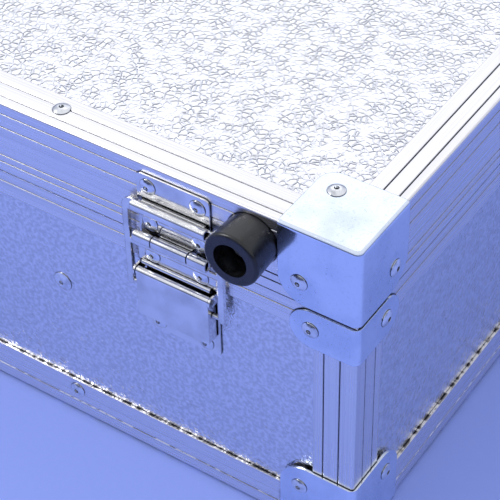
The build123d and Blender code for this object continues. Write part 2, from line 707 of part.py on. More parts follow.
with BuildPart() as latch_pins:
    for side in SIDES:
        with BuildSketch(latch_section(side)):
            with Locations(LEVER_AXIS):
                Circle(LEVER_PIN_R)
        extrude(amount=KEEPER_HALF_W + CHEEK_GAP, both=True)
save(latch_pins, "latch_pins")


# Rubber buffers and their screws
for side, (seat, _) in zip(SIDES, BUFFER_SITES):
    with BuildPart(seat.offset(-BUFFER_FLOOR_T)) as buffer:
        Cone(BUFFER_BASE_R, BUFFER_FACE_R, BUFFER_LENGTH, align=(Align.CENTER, Align.CENTER, Align.MIN))
        fillet(buffer.edges().group_by(Axis.Y)[0], BUFFER_EDGE_R)
        Cylinder(BUFFER_SCREW_R, 2 * BUFFER_LENGTH, mode=Mode.SUBTRACT)
        with Locations((0, 0, BUFFER_FLOOR_T)):
            Cylinder(
                BUFFER_HOLE_R,
                BUFFER_LENGTH,
                align=(Align.CENTER, Align.CENTER, Align.MIN),
                mode=Mode.SUBTRACT,
            )
    save(buffer, f"rubber_buffer_{side}")

with BuildPart() as buffer_screws:
    for seat, grip in BUFFER_SITES:
        with BuildSketch(seat):
            Circle(BUFFER_WASHER_R)
        extrude(amount=BUFFER_WASHER_T)
        with BuildSketch(seat):
            Circle(BUFFER_SCREW_R)
        extrude(amount=-grip)
        with BuildSketch(seat.offset(BUFFER_WASHER_T)):
            Circle(BUFFER_HEAD_R)
        extrude(amount=BUFFER_HEAD_H)
        with BuildSketch(seat.offset(BUFFER_WASHER_T + BUFFER_HEAD_H)):
            RegularPolygon(BUFFER_SOCKET_W / 2, 6, major_radius=False)
        extrude(amount=-BUFFER_SOCKET_DEPTH, mode=Mode.SUBTRACT)
save(buffer_screws, "buffer_screws")


# Hinges
def hinge_section(side, u=0.0):
    """The plane across a hinge: x stands out from the back rails' face and y is up from the hinge's axis."""
    return across("back", -SIDES[side] * HINGE_X + u, Z_MIDDLE)


def hinge_face(side):
    return on_wall("back", -SIDES[side] * HINGE_X, Z_MIDDLE, 0)


HINGE_CLEAR = HINGE_KNUCKLE_R + HINGE_GAP
HINGE_END_W = HINGE_HALF_W - HINGE_MIDDLE_HALF_W - HINGE_GAP
HINGE_BORE = HINGE_PIN_R + RUNNING_FIT

for side in SIDES:
    with BuildPart() as lid_leaf:
        with BuildSketch(hinge_face(side)) as face:
            slab(-HINGE_HALF_W, HINGE_HALF_W, HINGE_CLEAR, HINGE_LEAF_H)
            for end in (-1, 1):
                soften(face, (end * HINGE_HALF_W, HINGE_LEAF_H), LATCH_CORNER_R)
        extrude(amount=HINGE_LEAF_T)
        with BuildSketch(hinge_section(side)):
            slab(0, HINGE_LEAF_T, 0, HINGE_CLEAR)
            with Locations((HINGE_AXIS_OUT, 0)):
                Circle(HINGE_KNUCKLE_R)
            with Locations(Location((HINGE_AXIS_OUT, 0, 0), (0, 0, HINGE_STOP_ANGLE))):
                with Locations((HINGE_STOP_GAP - HINGE_LEAF_T / 2, -(HINGE_STOP_LENGTH + HINGE_BORE) / 2)):
                    Rectangle(HINGE_LEAF_T, HINGE_STOP_LENGTH - HINGE_BORE)
            with Locations((HINGE_AXIS_OUT, 0)):
                Circle(HINGE_BORE, mode=Mode.SUBTRACT)
        extrude(amount=HINGE_MIDDLE_HALF_W, both=True)
        drill(LID_HINGE_SITES)
    save(lid_leaf, f"hinge_lid_leaf_{side}")

    with BuildPart() as base_leaf:
        rim_low = Z_RIM_LOW - Z_MIDDLE
        with BuildSketch(hinge_section(side)):
            outline(
                (0, -HINGE_CLEAR),
                (HINGE_LEAF_T, -HINGE_CLEAR),
                (HINGE_LEAF_T, rim_low),
                (HINGE_LEAF_T - RAIL_T, rim_low - RAIL_T),
                (HINGE_LEAF_T - RAIL_T, -HINGE_LEAF_H),
                (-RAIL_T, -HINGE_LEAF_H),
                (-RAIL_T, rim_low - RAIL_T - JOGGLE_GAP),
                (0, rim_low - JOGGLE_GAP),
            )
        extrude(amount=HINGE_HALF_W, both=True)
        fillet(base_leaf.edges().filter_by(Axis.Y).group_by(Axis.Z)[0], LATCH_CORNER_R)
        for end in (-1, 1):
            with BuildSketch(hinge_section(side, end * (HINGE_HALF_W - HINGE_END_W / 2))):
                slab(0, HINGE_LEAF_T, -HINGE_CLEAR, 0)
                with Locations((HINGE_AXIS_OUT, 0)):
                    Circle(HINGE_KNUCKLE_R)
                    Circle(HINGE_PIN_R + PRESS_FIT, mode=Mode.SUBTRACT)
            extrude(amount=HINGE_END_W / 2, both=True)
        drill(BASE_HINGE_SITES)
    save(base_leaf, f"hinge_base_leaf_{side}")

with BuildPart() as hinge_pins:
    for side in SIDES:
        with BuildSketch(hinge_section(side)):
            with Locations((HINGE_AXIS_OUT, 0)):
                Circle(HINGE_PIN_R)
        extrude(amount=HINGE_HALF_W, both=True)
save(hinge_pins, "hinge_pins")


# Folding handle
with BuildPart() as handle_plate:
    with BuildSketch(on_wall("front", 0, Z_HANDLE, -RAIL_T)):
        RectangleRounded(HANDLE_PLATE_W, HANDLE_PLATE_H, HANDLE_PLATE_R)
    extrude(amount=HANDLE_PLATE_T)
    for end in (-1, 1):
        with BuildSketch(across("front", end * HANDLE_EAR_X, Z_HANDLE)):
            slab(-RAIL_T, HANDLE_AXIS_OUT, -HANDLE_EAR_R, HANDLE_EAR_R)
            with Locations((HANDLE_AXIS_OUT, 0)):
                Circle(HANDLE_EAR_R)
                Circle(HANDLE_ROD_R + HANDLE_ROD_FIT, mode=Mode.SUBTRACT)
        extrude(amount=HANDLE_EAR_T / 2, both=True)
    drill(HANDLE_SITES)
save(handle_plate, "handle_plate")

with BuildPart() as handle_loop:
    with BuildLine(on_wall("front", 0, Z_HANDLE, HANDLE_AXIS_OUT)):
        path = FilletPolyline(
            (-HANDLE_STUB_END, 0),
            (-HANDLE_LEG_X, 0),
            (-HANDLE_LEG_X, -HANDLE_LEG_DROP),
            (HANDLE_LEG_X, -HANDLE_LEG_DROP),
            (HANDLE_LEG_X, 0),
            (HANDLE_STUB_END, 0),
            radius=HANDLE_ROD_BEND_R - HANDLE_ROD_R,
        )
    with BuildSketch(Plane(path @ 0, z_dir=path % 0)):
        Circle(HANDLE_ROD_R)
    sweep()
save(handle_loop, "handle_loop")

with BuildPart() as handle_grip:
    with BuildSketch(across("front", 0, Z_HANDLE)):
        with Locations((HANDLE_AXIS_OUT, -HANDLE_LEG_DROP)):
            Circle(HANDLE_GRIP_R)
            Circle(HANDLE_ROD_R + PRESS_FIT, mode=Mode.SUBTRACT)
    extrude(amount=HANDLE_GRIP_HALF_L, both=True)
    fillet(handle_grip.edges().filter_by(GeomType.CIRCLE).group_by(SortBy.RADIUS)[-1], HANDLE_GRIP_EDGE_R)
save(handle_grip, "handle_grip")


# Inside
DIVIDER_HIGH = Z_TOP - DIVIDER_TOP_DROP
DIVIDER_X = RIVET_X + DIVIDER_FLANGE_W / 2
DIVIDER_REACH = DEPTH / 2 - WALL_DEPTH

with BuildPart() as divider:
    with BuildSketch(Plane((DIVIDER_X, Y_SHIFT, Z_INSIDE))):
        slab(-DIVIDER_T, 0, -DIVIDER_REACH, DIVIDER_REACH)
        slab(-DIVIDER_FLANGE_W, 0, -DIVIDER_REACH, DIVIDER_T - DIVIDER_REACH)
        slab(-DIVIDER_FLANGE_W, 0, DIVIDER_REACH - DIVIDER_T, DIVIDER_REACH)
    extrude(amount=DIVIDER_HIGH - Z_INSIDE)
    drill(all_of(DIVIDER_SITES))
    drill(all_of(BOTTOM_RAIL_SITES) + BASE_HINGE_SITES, RIVET_BULB_R + RIVET_BULB_CLEARANCE)
save(divider, "divider")

BED_LEFT = BED_INSET - LENGTH / 2
BED_RIGHT = DIVIDER_X - DIVIDER_FLANGE_W - BED_GAP
BED_MIDDLE = (BED_LEFT + BED_RIGHT) / 2

with BuildPart() as foam_bed:
    with BuildSketch(Plane((BED_MIDDLE, Y_SHIFT, Z_INSIDE))):
        Rectangle(BED_RIGHT - BED_LEFT, DEPTH - 2 * BED_INSET)
    extrude(amount=BED_T)
    with BuildSketch(Plane((BED_MIDDLE, Y_SHIFT, Z_INSIDE + BED_T))) as recess:
        Rectangle(RECESS_LENGTH, RECESS_WIDTH)
        with Locations(((RECESS_GRIP_LENGTH - RECESS_LENGTH) / 2, 0)):
            Rectangle(RECESS_GRIP_LENGTH, RECESS_GRIP_WIDTH)
        fillet(recess.vertices(), RECESS_CORNER_R)
    extrude(amount=-RECESS_DEPTH, mode=Mode.SUBTRACT)
save(foam_bed, "foam_bed")

with BuildPart() as lid_foam:
    with BuildSketch(Plane((0, Y_SHIFT, Z_LID_BOARD))):
        Rectangle(LENGTH - 2 * LID_FOAM_INSET, DEPTH - 2 * LID_FOAM_INSET)
    extrude(amount=-LID_FOAM_T)
    drill(TOP_CORNER_SITES, RIVET_BULB_R + RIVET_BULB_CLEARANCE)
save(lid_foam, "lid_foam")


# Rivets
def rivet(grip, head_h, head_r):
    """Blind rivet: domed head with an open eye, shank, and a bulb behind the gripped sheets."""
    shoulder_out, shoulder_up = RIVET_SHOULDER
    with BuildPart() as shape:
        with BuildSketch(Plane.XZ):
            with BuildLine():
                Polyline(
                    (RIVET_EYE_R, head_h),
                    (RIVET_EYE_R, 0),
                    (0, 0),
                    (0, -grip - RIVET_BULB_H),
                    (RIVET_SHANK_R, -grip - RIVET_BULB_H),
                    (RIVET_BULB_R, -grip),
                    (RIVET_SHANK_R, -grip),
                    (RIVET_SHANK_R, 0),
                    (head_r, 0),
                    (head_r, RIVET_RIM_H),
                )
                ThreePointArc(
                    (head_r, RIVET_RIM_H),
                    (head_r * shoulder_out, RIVET_RIM_H + (head_h - RIVET_RIM_H) * shoulder_up),
                    (RIVET_EYE_R, head_h),
                )
            make_face()
        revolve(axis=Axis.Z)
    return shape.part


def rivet_group(name, sites, low_sites, broad_sites):
    """All of one body's rivets. The low heads lie under a latch, and the broad ones hold the divider."""
    placed = [(seat, grip, RIVET_HEAD_H, RIVET_HEAD_R) for seat, grip in sites]
    placed += [(seat, grip, RIVET_LOW_HEAD_H, RIVET_HEAD_R) for seat, grip in low_sites]
    placed += [(seat, grip, RIVET_HEAD_H, RIVET_BROAD_HEAD_R) for seat, grip in broad_sites]
    shapes = {form: rivet(*form) for form in {tuple(sizes) for _, *sizes in placed}}
    with BuildPart() as group:
        for seat, grip, head_h, head_r in placed:
            with Locations(seat.location):
                add(shapes[grip, head_h, head_r])
    save(group, name)


rivet_group(
    "lid_rivets",
    all_of(LID_CORNER_SITES) + TOP_CORNER_SITES + all_of(TOP_RAIL_SITES) + CATCH_UPPER_SITES + LID_HINGE_SITES,
    CATCH_LOWER_SITES,
    [],
)
rivet_group(
    "base_rivets",
    all_of(STRAP_SITES) + all_of(BOTTOM_CORNER_SITES) + all_of(BOTTOM_RAIL_SITES)
    + KEEPER_LOWER_SITES + BASE_HINGE_SITES + HANDLE_SITES,
    KEEPER_UPPER_SITES,
    all_of(DIVIDER_SITES),
)
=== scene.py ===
"""Looks of an aluminium-edged transport case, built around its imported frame.

Metres, +X to the case's right, +Y to its back, +Z up. The case stands on z = 0.
"""

import logging
import math
from dataclasses import dataclass
from enum import Enum
from typing import Any

import bpy
import numpy as np
from mathutils import Matrix, Vector


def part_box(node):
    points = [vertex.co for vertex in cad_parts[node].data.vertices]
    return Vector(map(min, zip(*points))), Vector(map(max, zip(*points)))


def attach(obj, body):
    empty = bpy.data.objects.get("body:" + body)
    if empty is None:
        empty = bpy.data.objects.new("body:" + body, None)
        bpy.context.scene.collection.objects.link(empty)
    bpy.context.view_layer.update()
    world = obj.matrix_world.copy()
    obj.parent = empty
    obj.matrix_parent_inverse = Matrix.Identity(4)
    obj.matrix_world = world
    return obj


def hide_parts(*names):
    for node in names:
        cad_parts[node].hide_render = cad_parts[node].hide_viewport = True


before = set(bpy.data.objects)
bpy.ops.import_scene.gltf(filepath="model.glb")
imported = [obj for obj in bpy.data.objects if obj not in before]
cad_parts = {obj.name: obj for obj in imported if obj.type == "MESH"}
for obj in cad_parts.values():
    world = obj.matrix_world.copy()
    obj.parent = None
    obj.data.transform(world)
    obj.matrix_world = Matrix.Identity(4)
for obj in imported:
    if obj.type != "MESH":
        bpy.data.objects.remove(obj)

MM = 0.001
LOG = logging.getLogger("transport_case")
Points = np.ndarray
Socket = bpy.types.NodeSocket
Span = tuple[float, float]
Triple = tuple[float, float, float]

ENDS = ("left", "right")
FACES = ("front", "back")
CORNERS = tuple(f"{face}_{end}" for face in FACES for end in ENDS)

# Octaves of detail in a noise
SMOOTH, SOFT, FINE, RICH = 1.0, 2.0, 3.0, 4.0

# Rays that feel for a gap, for the painted gap shade, and for an edge
GAP_SAMPLES = 8
EDGE_SAMPLES = 6

# How far the painted shade in gaps reaches
GRIME_REACH = 1.1 * MM
SHARP_ANGLE = math.radians(40)

# A Mix node's colour sockets go by number, because its names repeat for each kind of data
MIX_AMOUNT, MIX_FIRST, MIX_SECOND, MIX_RESULT = 0, 6, 7, 2


class Run(Enum):
    """Direction in which an extrusion was drawn, and its die lines run."""

    X = (1, 0, 0)
    Y = (0, 1, 0)
    Z = (0, 0, 1)


class Outward(Enum):
    """Face of the case that a board looks out of: axis number and sign."""

    RIGHT = (0, 1)
    LEFT = (0, -1)
    BACK = (1, 1)
    FRONT = (1, -1)
    TOP = (2, 1)
    UNDER = (2, -1)


# Colour and nodes


def linear(hex_colour: str) -> tuple[float, float, float, float]:
    """Turns an sRGB hex colour into linear light, by the standard curve.

    Args:
        hex_colour: colour such as "#e9ebee".

    Returns:
        Red, green, blue and an alpha of 1.
    """
    value = np.array([int(hex_colour[i : i + 2], 16) for i in (1, 3, 5)]) / 255
    light = np.where(value <= 0.04045, value / 12.92, ((value + 0.055) / 1.055) ** 2.4)
    return (float(light[0]), float(light[1]), float(light[2]), 1.0)


def add_node(
    tree: bpy.types.NodeTree, kind: str, sockets: dict[Any, Any] | None = None, **settings: Any
) -> bpy.types.Node:
    """Adds one node with its settings, and sets or links its input sockets.

    Args:
        tree: node tree that gets the node.
        kind: node type.
        sockets: input name or number, to a value or to an output socket.
        **settings: node properties.

    Returns:
        The new node.
    """
    node = tree.nodes.new(kind)
    for key, value in settings.items():
        setattr(node, key, value)
    for key, value in (sockets or {}).items():
        if isinstance(value, bpy.types.NodeSocket):
            tree.links.new(value, node.inputs[key])
        else:
            node.inputs[key].default_value = value
    return node


def mix(tree: bpy.types.NodeTree, amount: Socket, first: Any, second: Any) -> Socket:
    """Mixes two colours, given as hex or as sockets, by an amount from 0 to 1."""
    first, second = (linear(end) if isinstance(end, str) else end for end in (first, second))
    sockets = {MIX_AMOUNT: amount, MIX_FIRST: first, MIX_SECOND: second}
    return add_node(tree, "ShaderNodeMix", sockets, data_type="RGBA").outputs[MIX_RESULT]


@dataclass
class Surface:
    """A material being put together from patterns in its object's own coordinates."""

    name: str

    def __post_init__(self) -> None:
        """Starts the node tree with object coordinates."""
        self.material = bpy.data.materials.new(self.name)
        self.material.use_nodes = True
        self.tree = self.material.node_tree
        self.tree.nodes.clear()
        self.place = add_node(self.tree, "ShaderNodeTexCoord").outputs["Object"]

    def noise(
        self, size: float, detail: float, where: Socket | None = None, output: str = "Fac"
    ) -> Socket:
        """Gives soft noise from 0 to 1.

        Args:
            size: size of its lumps in metres.
            detail: octaves of finer noise in it.
            where: coordinates to read it at, instead of the object's own.
            output: "Fac" for a value, or "Color" for three values in one.

        Returns:
            The noise.
        """
        sockets = {"Vector": where or self.place, "Scale": 1.0 / size, "Detail": detail}
        return add_node(self.tree, "ShaderNodeTexNoise", sockets).outputs[output]

    def streaks(self, scale: Triple, detail: float) -> Socket:
        """Gives noise drawn out by three scales, in cycles per metre."""
        sockets = {0: self.place, 1: scale}
        place = add_node(self.tree, "ShaderNodeVectorMath", sockets, operation="MULTIPLY")
        return self.noise(1.0, detail, place.outputs["Vector"])

    def cells(self, size: float, wave: float, wander: float, feature: str) -> Socket:
        """Gives the distances of a pattern of cells whose borders wander.

        Args:
            size: size of a cell in metres.
            wave: size of the waves that push its border about, in metres.
            wander: how far they push it, in metres.
            feature: what the distance is taken to, by Blender's name.

        Returns:
            The distance, in cells.
        """
        waves = self.noise(wave, SOFT, output="Color")
        sockets = {0: waves, 1: (wander,) * 3, 2: self.place}
        place = add_node(self.tree, "ShaderNodeVectorMath", sockets, operation="MULTIPLY_ADD")
        sockets = {"Vector": place.outputs["Vector"], "Scale": 1.0 / size}
        pattern = add_node(self.tree, "ShaderNodeTexVoronoi", sockets, feature=feature)
        return pattern.outputs["Distance"]

    def ramp(self, value: Socket, span: Span, result: Span = (0.0, 1.0)) -> Socket:
        """Maps a value smoothly from one range to another.

        Args:
            value: socket to map.
            span: the two values that give the ends of the result.
            result: the ends of the result.

        Returns:
            The mapped value.
        """
        sockets = {
            "Value": value,
            "From Min": span[0],
            "From Max": span[1],
            "To Min": result[0],
            "To Max": result[1],
        }
        node = add_node(
            self.tree, "ShaderNodeMapRange", sockets, interpolation_type="SMOOTHSTEP"
        )
        return node.outputs["Result"]

    def joined(self, operation: str, first: Socket, second: Any) -> Socket:
        """Joins two values by an arithmetic operation, by Blender's name."""
        node = add_node(self.tree, "ShaderNodeMath", {0: first, 1: second}, operation=operation)
        return node.outputs[0]

    def times(self, first: Socket, second: Any) -> Socket:
        """Multiplies two values."""
        return self.joined("MULTIPLY", first, second)

    def plus(self, first: Socket, second: Any) -> Socket:
        """Adds two values."""
        return self.joined("ADD", first, second)

    def blend(self, amount: Socket, first: Any, second: Any) -> Socket:
        """Mixes two colours, given as hex or as sockets, by an amount from 0 to 1."""
        return mix(self.tree, amount, first, second)

    def along(self, axis: int) -> Socket:
        """Gives one object coordinate."""
        node = add_node(self.tree, "ShaderNodeSeparateXYZ", {0: self.place})
        return node.outputs[axis]

    def relief(self, height: Socket, depth: float, onto: Socket | None = None) -> Socket:
        """Turns a height from 0 to 1 into bumps of a depth in metres, on top of other normals."""
        sockets: dict[Any, Any] = {"Height": height, "Distance": depth, "Strength": 1.0}
        if onto is not None:
            sockets["Normal"] = onto
        return add_node(self.tree, "ShaderNodeBump", sockets).outputs["Normal"]

    def worn_edge(self, radius: float) -> Socket:
        """Gives normals that round every edge by a radius in metres, as handling does."""
        bevel = add_node(self.tree, "ShaderNodeBevel", {"Radius": radius}, samples=EDGE_SAMPLES)
        return bevel.outputs["Normal"]

    def seamed(
        self,
        colour: Socket,
        clear: Span = (0.42, 0.78),
        distance: float = GRIME_REACH,
        dark: str = "#23242c",
        wiped: Socket | None = None,
    ) -> Socket:
        """Paints shade into a colour in the narrow gaps and seats, by ambient occlusion.

        Args:
            colour: colour of the unshaded surface.
            clear: share of open sky at which the painted shade starts to fade, and at which it is
                gone.
            distance: how far from a gap the painted shade reaches, in metres.
            dark: colour of the painted shade.
            wiped: how far the painted shade is lifted at each place, from 0 to 1.

        Returns:
            The colour with its painted gap shade.
        """
        # Painted shade: the colour is blended to the dark colour wherever ambient occlusion finds
        # little open sky
        sky = add_node(
            self.tree, "ShaderNodeAmbientOcclusion", {"Distance": distance}, samples=GAP_SAMPLES
        )
        clean = self.ramp(sky.outputs["AO"], clear)
        if wiped is not None:
            clean = self.joined("MAXIMUM", clean, wiped)
        return self.blend(clean, dark, colour)

    def close(self, **sockets: Any) -> bpy.types.Material:
        """Ends the material with one shader.

        Args:
            **sockets: shader inputs, with spaces written as underscores.

        Returns:
            The finished material.
        """
        named = {key.replace("_", " "): value for key, value in sockets.items()}
        shader = add_node(self.tree, "ShaderNodeBsdfPrincipled", named)
        add_node(self.tree, "ShaderNodeOutputMaterial", {"Surface": shader.outputs[0]})
        return self.material


# Finishes
#
# Their fields are named alike. A pattern's bare name is the size of its lumps, and a scale is its
# cycles per metre along X, Y and Z. A span holds the two values of a pattern between which it
# comes up, a strength says how much of it shows, and a depth how high it stands. An edge is the
# radius of worn edges. Clear and grime go to seamed(), the painted shade in gaps, as
# its limits and its distance.


@dataclass(frozen=True)
class Grain:
    """How much of each pattern a rolled sheet shows.

    Attributes:
        cracks: painted shade in the creases between the pebbles.
        mottle: dark, soft spots.
        pebbles: relief of the pebbles.
        peel: relief of the finer orange peel.
    """

    cracks: float
    mottle: float
    pebbles: float
    peel: float


@dataclass(frozen=True)
class FacedBoard:
    """Plywood board faced with aluminium sheet that was rolled with a pebble grain.

    The eye sees bright metal broken up by short, thin, wavy crease lines between low pebbles, or
    by a soft mottle where the pebbles are pressed flatter. The crease lines are painted shade, and
    the colour is darkened with painted shade in gaps and seats too. The sheet covers the outward
    face, and the board's back and edges are bare birch plywood.

    Attributes:
        outward: face of the case that the board looks out of.
        level: coordinate of its outward face along that axis.
        grain: how much of each pattern its sheet shows.
        sheet: depths below the face at which wood ends and metal is whole.
    """

    outward: Outward
    level: float
    grain: Grain
    sheet: Span = (0.7 * MM, 0.5 * MM)
    metal: str = "#eeeef0"
    crease: str = "#b4b6be"
    wood: str = "#c9ae83"
    wood_dark: str = "#a98a5c"
    clear: Span = (0.55, 0.88)
    depth: float = 0.3 * MM
    pebble: float = 3.1 * MM
    wave: float = 5.0 * MM
    wander: float = 3.0 * MM
    pebble_span: Span = (0.0, 0.2)
    crease_span: Span = (0.01, 0.06)
    crown: float = 8 * MM
    crown_span: Span = (0.35, 0.65)
    crown_strength: Span = (0.35, 1.0)
    peel: float = 1.9 * MM
    peel_span: Span = (0.3, 0.7)
    sheen: float = 45 * MM
    sheen_span: Span = (0.25, 0.75)
    roughness: Span = (0.14, 0.22)
    along_grain: float = 40.0
    across_grain: float = 400.0
    wood_span: Span = (0.3, 0.7)
    wood_roughness: float = 0.62

    def build(self) -> bpy.types.Material:
        """Builds the material."""
        s = Surface(f"embossed_aluminium_faced_board_{self.outward.name.lower()}")
        axis, sign = self.outward.value
        cells = s.cells(self.pebble, self.wave, self.wander, "DISTANCE_TO_EDGE")
        crown = s.ramp(s.noise(self.crown, SOFT), self.crown_span, self.crown_strength)
        peel = s.noise(self.peel, SMOOTH)
        pebbles = s.times(s.times(s.ramp(cells, self.pebble_span), crown), self.grain.pebbles)
        height = s.plus(s.times(peel, self.grain.peel), pebbles)
        # Painted shade: thin dark lines in the creases between the pebbles; the mottle is random
        # tone
        creases = s.times(s.ramp(cells, self.crease_span, (1.0, 0.0)), crown)
        mottle = s.times(s.ramp(peel, self.peel_span), self.grain.mottle)
        valley = s.plus(s.times(creases, self.grain.cracks), mottle)
        face = self.level * sign
        below = (face - self.sheet[0], face - self.sheet[1])
        skin = s.ramp(s.times(s.along(axis), float(sign)), below)
        scale = [self.along_grain] * 3
        scale[1 if axis != 1 else 2] = self.across_grain
        timber_grain = s.ramp(s.streaks(tuple(scale), RICH), self.wood_span)
        timber = s.blend(timber_grain, self.wood, self.wood_dark)
        sheet = s.blend(valley, self.metal, self.crease)
        rough = s.ramp(s.noise(self.sheen, FINE), self.sheen_span, self.roughness)
        wood_rough = s.ramp(skin, (0.0, 1.0), (self.wood_roughness, 0.0))
        bump = s.relief(s.times(height, skin), self.depth)
        # Painted shade: ambient occlusion darkens the colour in gaps and seats, such as round rivet
        # heads
        return s.close(
            Base_Color=s.seamed(s.blend(skin, timber, sheet), self.clear),
            Metallic=skin,
            Roughness=s.plus(s.times(rough, skin), wood_rough),
            Normal=bump,
        )


@dataclass(frozen=True)
class DrawnAluminium:
    """Extruded aluminium angle, satin anodised.

    The eye sees a soft metal with long fine die lines, edges that catch the light, and painted
    shade in its grooves and gaps, lifted in random patches.

    Attributes:
        run: direction of its die lines.
        site: name of the place where it is used.
        wiped: how far the painted shade is lifted in the random patches, from 0 to 1.
        line_pitch: spacing of the die lines.
        line_length: length of a die line.
        lines_in_band: number of lines that brighten and fade together.
    """

    run: Run
    site: str = "rail"
    clear: Span = (0.6, 0.9)
    grime: float = GRIME_REACH
    wiped: float = 0.0
    colour: str = "#edebec"
    streak: str = "#dedde1"
    line_pitch: float = 0.7 * MM
    line_length: float = 260 * MM
    line_span: Span = (0.35, 0.65)
    line_depth: float = 0.004 * MM
    lines_in_band: float = 6.0
    band_span: Span = (0.3, 0.7)
    band_strength: Span = (0.4, 1.0)
    patch: float = 4 * MM
    patch_span: Span = (0.46, 0.58)
    edge: float = 0.4 * MM
    cloud: float = 30 * MM
    cloud_span: Span = (0.6, 1.4)
    roughness: Span = (0.22, 0.34)

    def build(self) -> bpy.types.Material:
        """Builds the material."""
        s = Surface(f"satin_anodised_{self.site}_{self.run.name.lower()}")
        fine, long = 1.0 / self.line_pitch, 1.0 / self.line_length
        broad = fine / self.lines_in_band
        lines = s.streaks(tuple(long if part else fine for part in self.run.value), FINE)
        bands = s.streaks(tuple(long if part else broad for part in self.run.value), SOFT)
        band = s.ramp(bands, self.band_span, self.band_strength)
        tone = s.times(s.ramp(lines, self.line_span), band)
        clean = s.blend(tone, self.colour, self.streak)
        patches = s.times(s.ramp(s.noise(self.patch, SOFT), self.patch_span), self.wiped)
        clouds = s.plus(lines, s.noise(self.cloud, FINE))
        # Painted shade in grooves and gaps, lifted in random patches
        return s.close(
            Base_Color=s.seamed(clean, self.clear, self.grime, wiped=patches),
            Metallic=1.0,
            Roughness=s.ramp(clouds, self.cloud_span, self.roughness),
            Normal=s.relief(lines, self.line_depth, s.worn_edge(self.edge)),
        )


@dataclass(frozen=True)
class BrightZinc:
    """Pressed sheet steel with bright zinc plating.

    The eye sees a smooth cool metal with faint cloudy speckle, and bends that catch the light.
    """

    colour: str = "#e6eefa"
    shade: str = "#c2cfe2"
    clear: Span = (0.55, 0.88)
    cloud: float = 22 * MM
    cloud_span: Span = (0.4, 0.7)
    cloud_strength: float = 0.6
    speck: float = 1.3 * MM
    speck_span: Span = (0.56, 0.7)
    speck_strength: float = 0.35
    speck_dullness: float = 0.3
    dull_span: Span = (0.3, 1.0)
    roughness: Span = (0.13, 0.3)
    edge: float = 0.4 * MM
    ripple: float = 9 * MM
    ripple_depth: float = 0.05 * MM
    tooth: float = 0.5 * MM
    tooth_depth: float = 0.006 * MM

    def build(self) -> bpy.types.Material:
        """Builds the material."""
        s = Surface("bright_zinc_plated_steel")
        clouds = s.noise(self.cloud, RICH)
        specks = s.ramp(s.noise(self.speck, FINE), self.speck_span)
        cloudy = s.times(s.ramp(clouds, self.cloud_span), self.cloud_strength)
        tone = s.plus(cloudy, s.times(specks, self.speck_strength))
        dull = s.plus(clouds, s.times(specks, self.speck_dullness))
        edge = s.worn_edge(self.edge)
        ripple = s.relief(s.noise(self.ripple, SMOOTH), self.ripple_depth, edge)
        # Painted shade: ambient occlusion darkens the colour in gaps, seats and round rivet heads
        return s.close(
            Base_Color=s.seamed(s.blend(tone, self.colour, self.shade), self.clear),
            Metallic=1.0,
            Roughness=s.ramp(dull, self.dull_span, self.roughness),
            Normal=s.relief(s.noise(self.tooth, SOFT), self.tooth_depth, ripple),
        )


@dataclass(frozen=True)
class BrightNickel:
    """Stamped and rolled sheet steel with bright nickel plating.

    The eye sees near-mirror sheet, very slightly wavy from the press, with hairline handling marks.

    Attributes:
        edge: radius by which its cut edges are rolled over.
    """

    edge: float = 0.25 * MM
    grime: float = GRIME_REACH
    clear: Span = (0.5, 0.85)
    colour: str = "#eeedec"
    haze: str = "#d2d2d3"
    cloud: float = 14 * MM
    cloud_span: Span = (0.35, 0.75)
    wave: float = 7 * MM
    wave_depth: float = 0.06 * MM
    hair_scale: Triple = (90, 1400, 1400)
    hair_depth: float = 0.004 * MM
    hair_span: Span = (0.1, 0.45)
    roughness: Span = (0.06, 0.2)

    def build(self) -> bpy.types.Material:
        """Builds the material."""
        s = Surface(f"bright_nickel_plated_steel_{self.edge / MM:.2f}_{self.grime / MM:.2f}")
        hairs = s.streaks(self.hair_scale, FINE)
        clouds = s.noise(self.cloud, FINE)
        clean = s.blend(s.ramp(clouds, self.cloud_span), self.colour, self.haze)
        edge = s.worn_edge(self.edge)
        waves = s.relief(s.noise(self.wave, SMOOTH), self.wave_depth, edge)
        # Painted shade: ambient occlusion darkens the colour in gaps and seats
        return s.close(
            Base_Color=s.seamed(clean, self.clear, self.grime),
            Metallic=1.0,
            Roughness=s.ramp(s.times(hairs, clouds), self.hair_span, self.roughness),
            Normal=s.relief(hairs, self.hair_depth, waves),
        )


@dataclass(frozen=True)
class TurnedMetal:
    """Headed aluminium or plain steel, as on rivets, pins and screws.

    The eye sees small bright domes with fine specks, duller where the setting tool pressed.

    Attributes:
        polish: least and most of its roughness, as shares of the middle value.
    """

    name: str
    colour: str
    dull: str
    roughness: float
    polish: Span = (0.8, 1.3)
    cloud: float = 3 * MM
    cloud_span: Span = (0.4, 0.75)
    speck: float = 0.6 * MM
    speck_span: Span = (0.3, 0.7)
    speck_depth: float = 0.01 * MM
    edge: float = 0.2 * MM

    def build(self) -> bpy.types.Material:
        """Builds the material."""
        s = Surface(self.name)
        specks = s.noise(self.speck, FINE)
        clouds = s.ramp(s.noise(self.cloud, SOFT), self.cloud_span)
        rough = (self.roughness * self.polish[0], self.roughness * self.polish[1])
        # Painted shade: ambient occlusion darkens the colour where the head meets its seat
        return s.close(
            Base_Color=s.seamed(s.blend(clouds, self.colour, self.dull)),
            Metallic=1.0,
            Roughness=s.ramp(specks, self.speck_span, rough),
            Normal=s.relief(specks, self.speck_depth, s.worn_edge(self.edge)),
        )


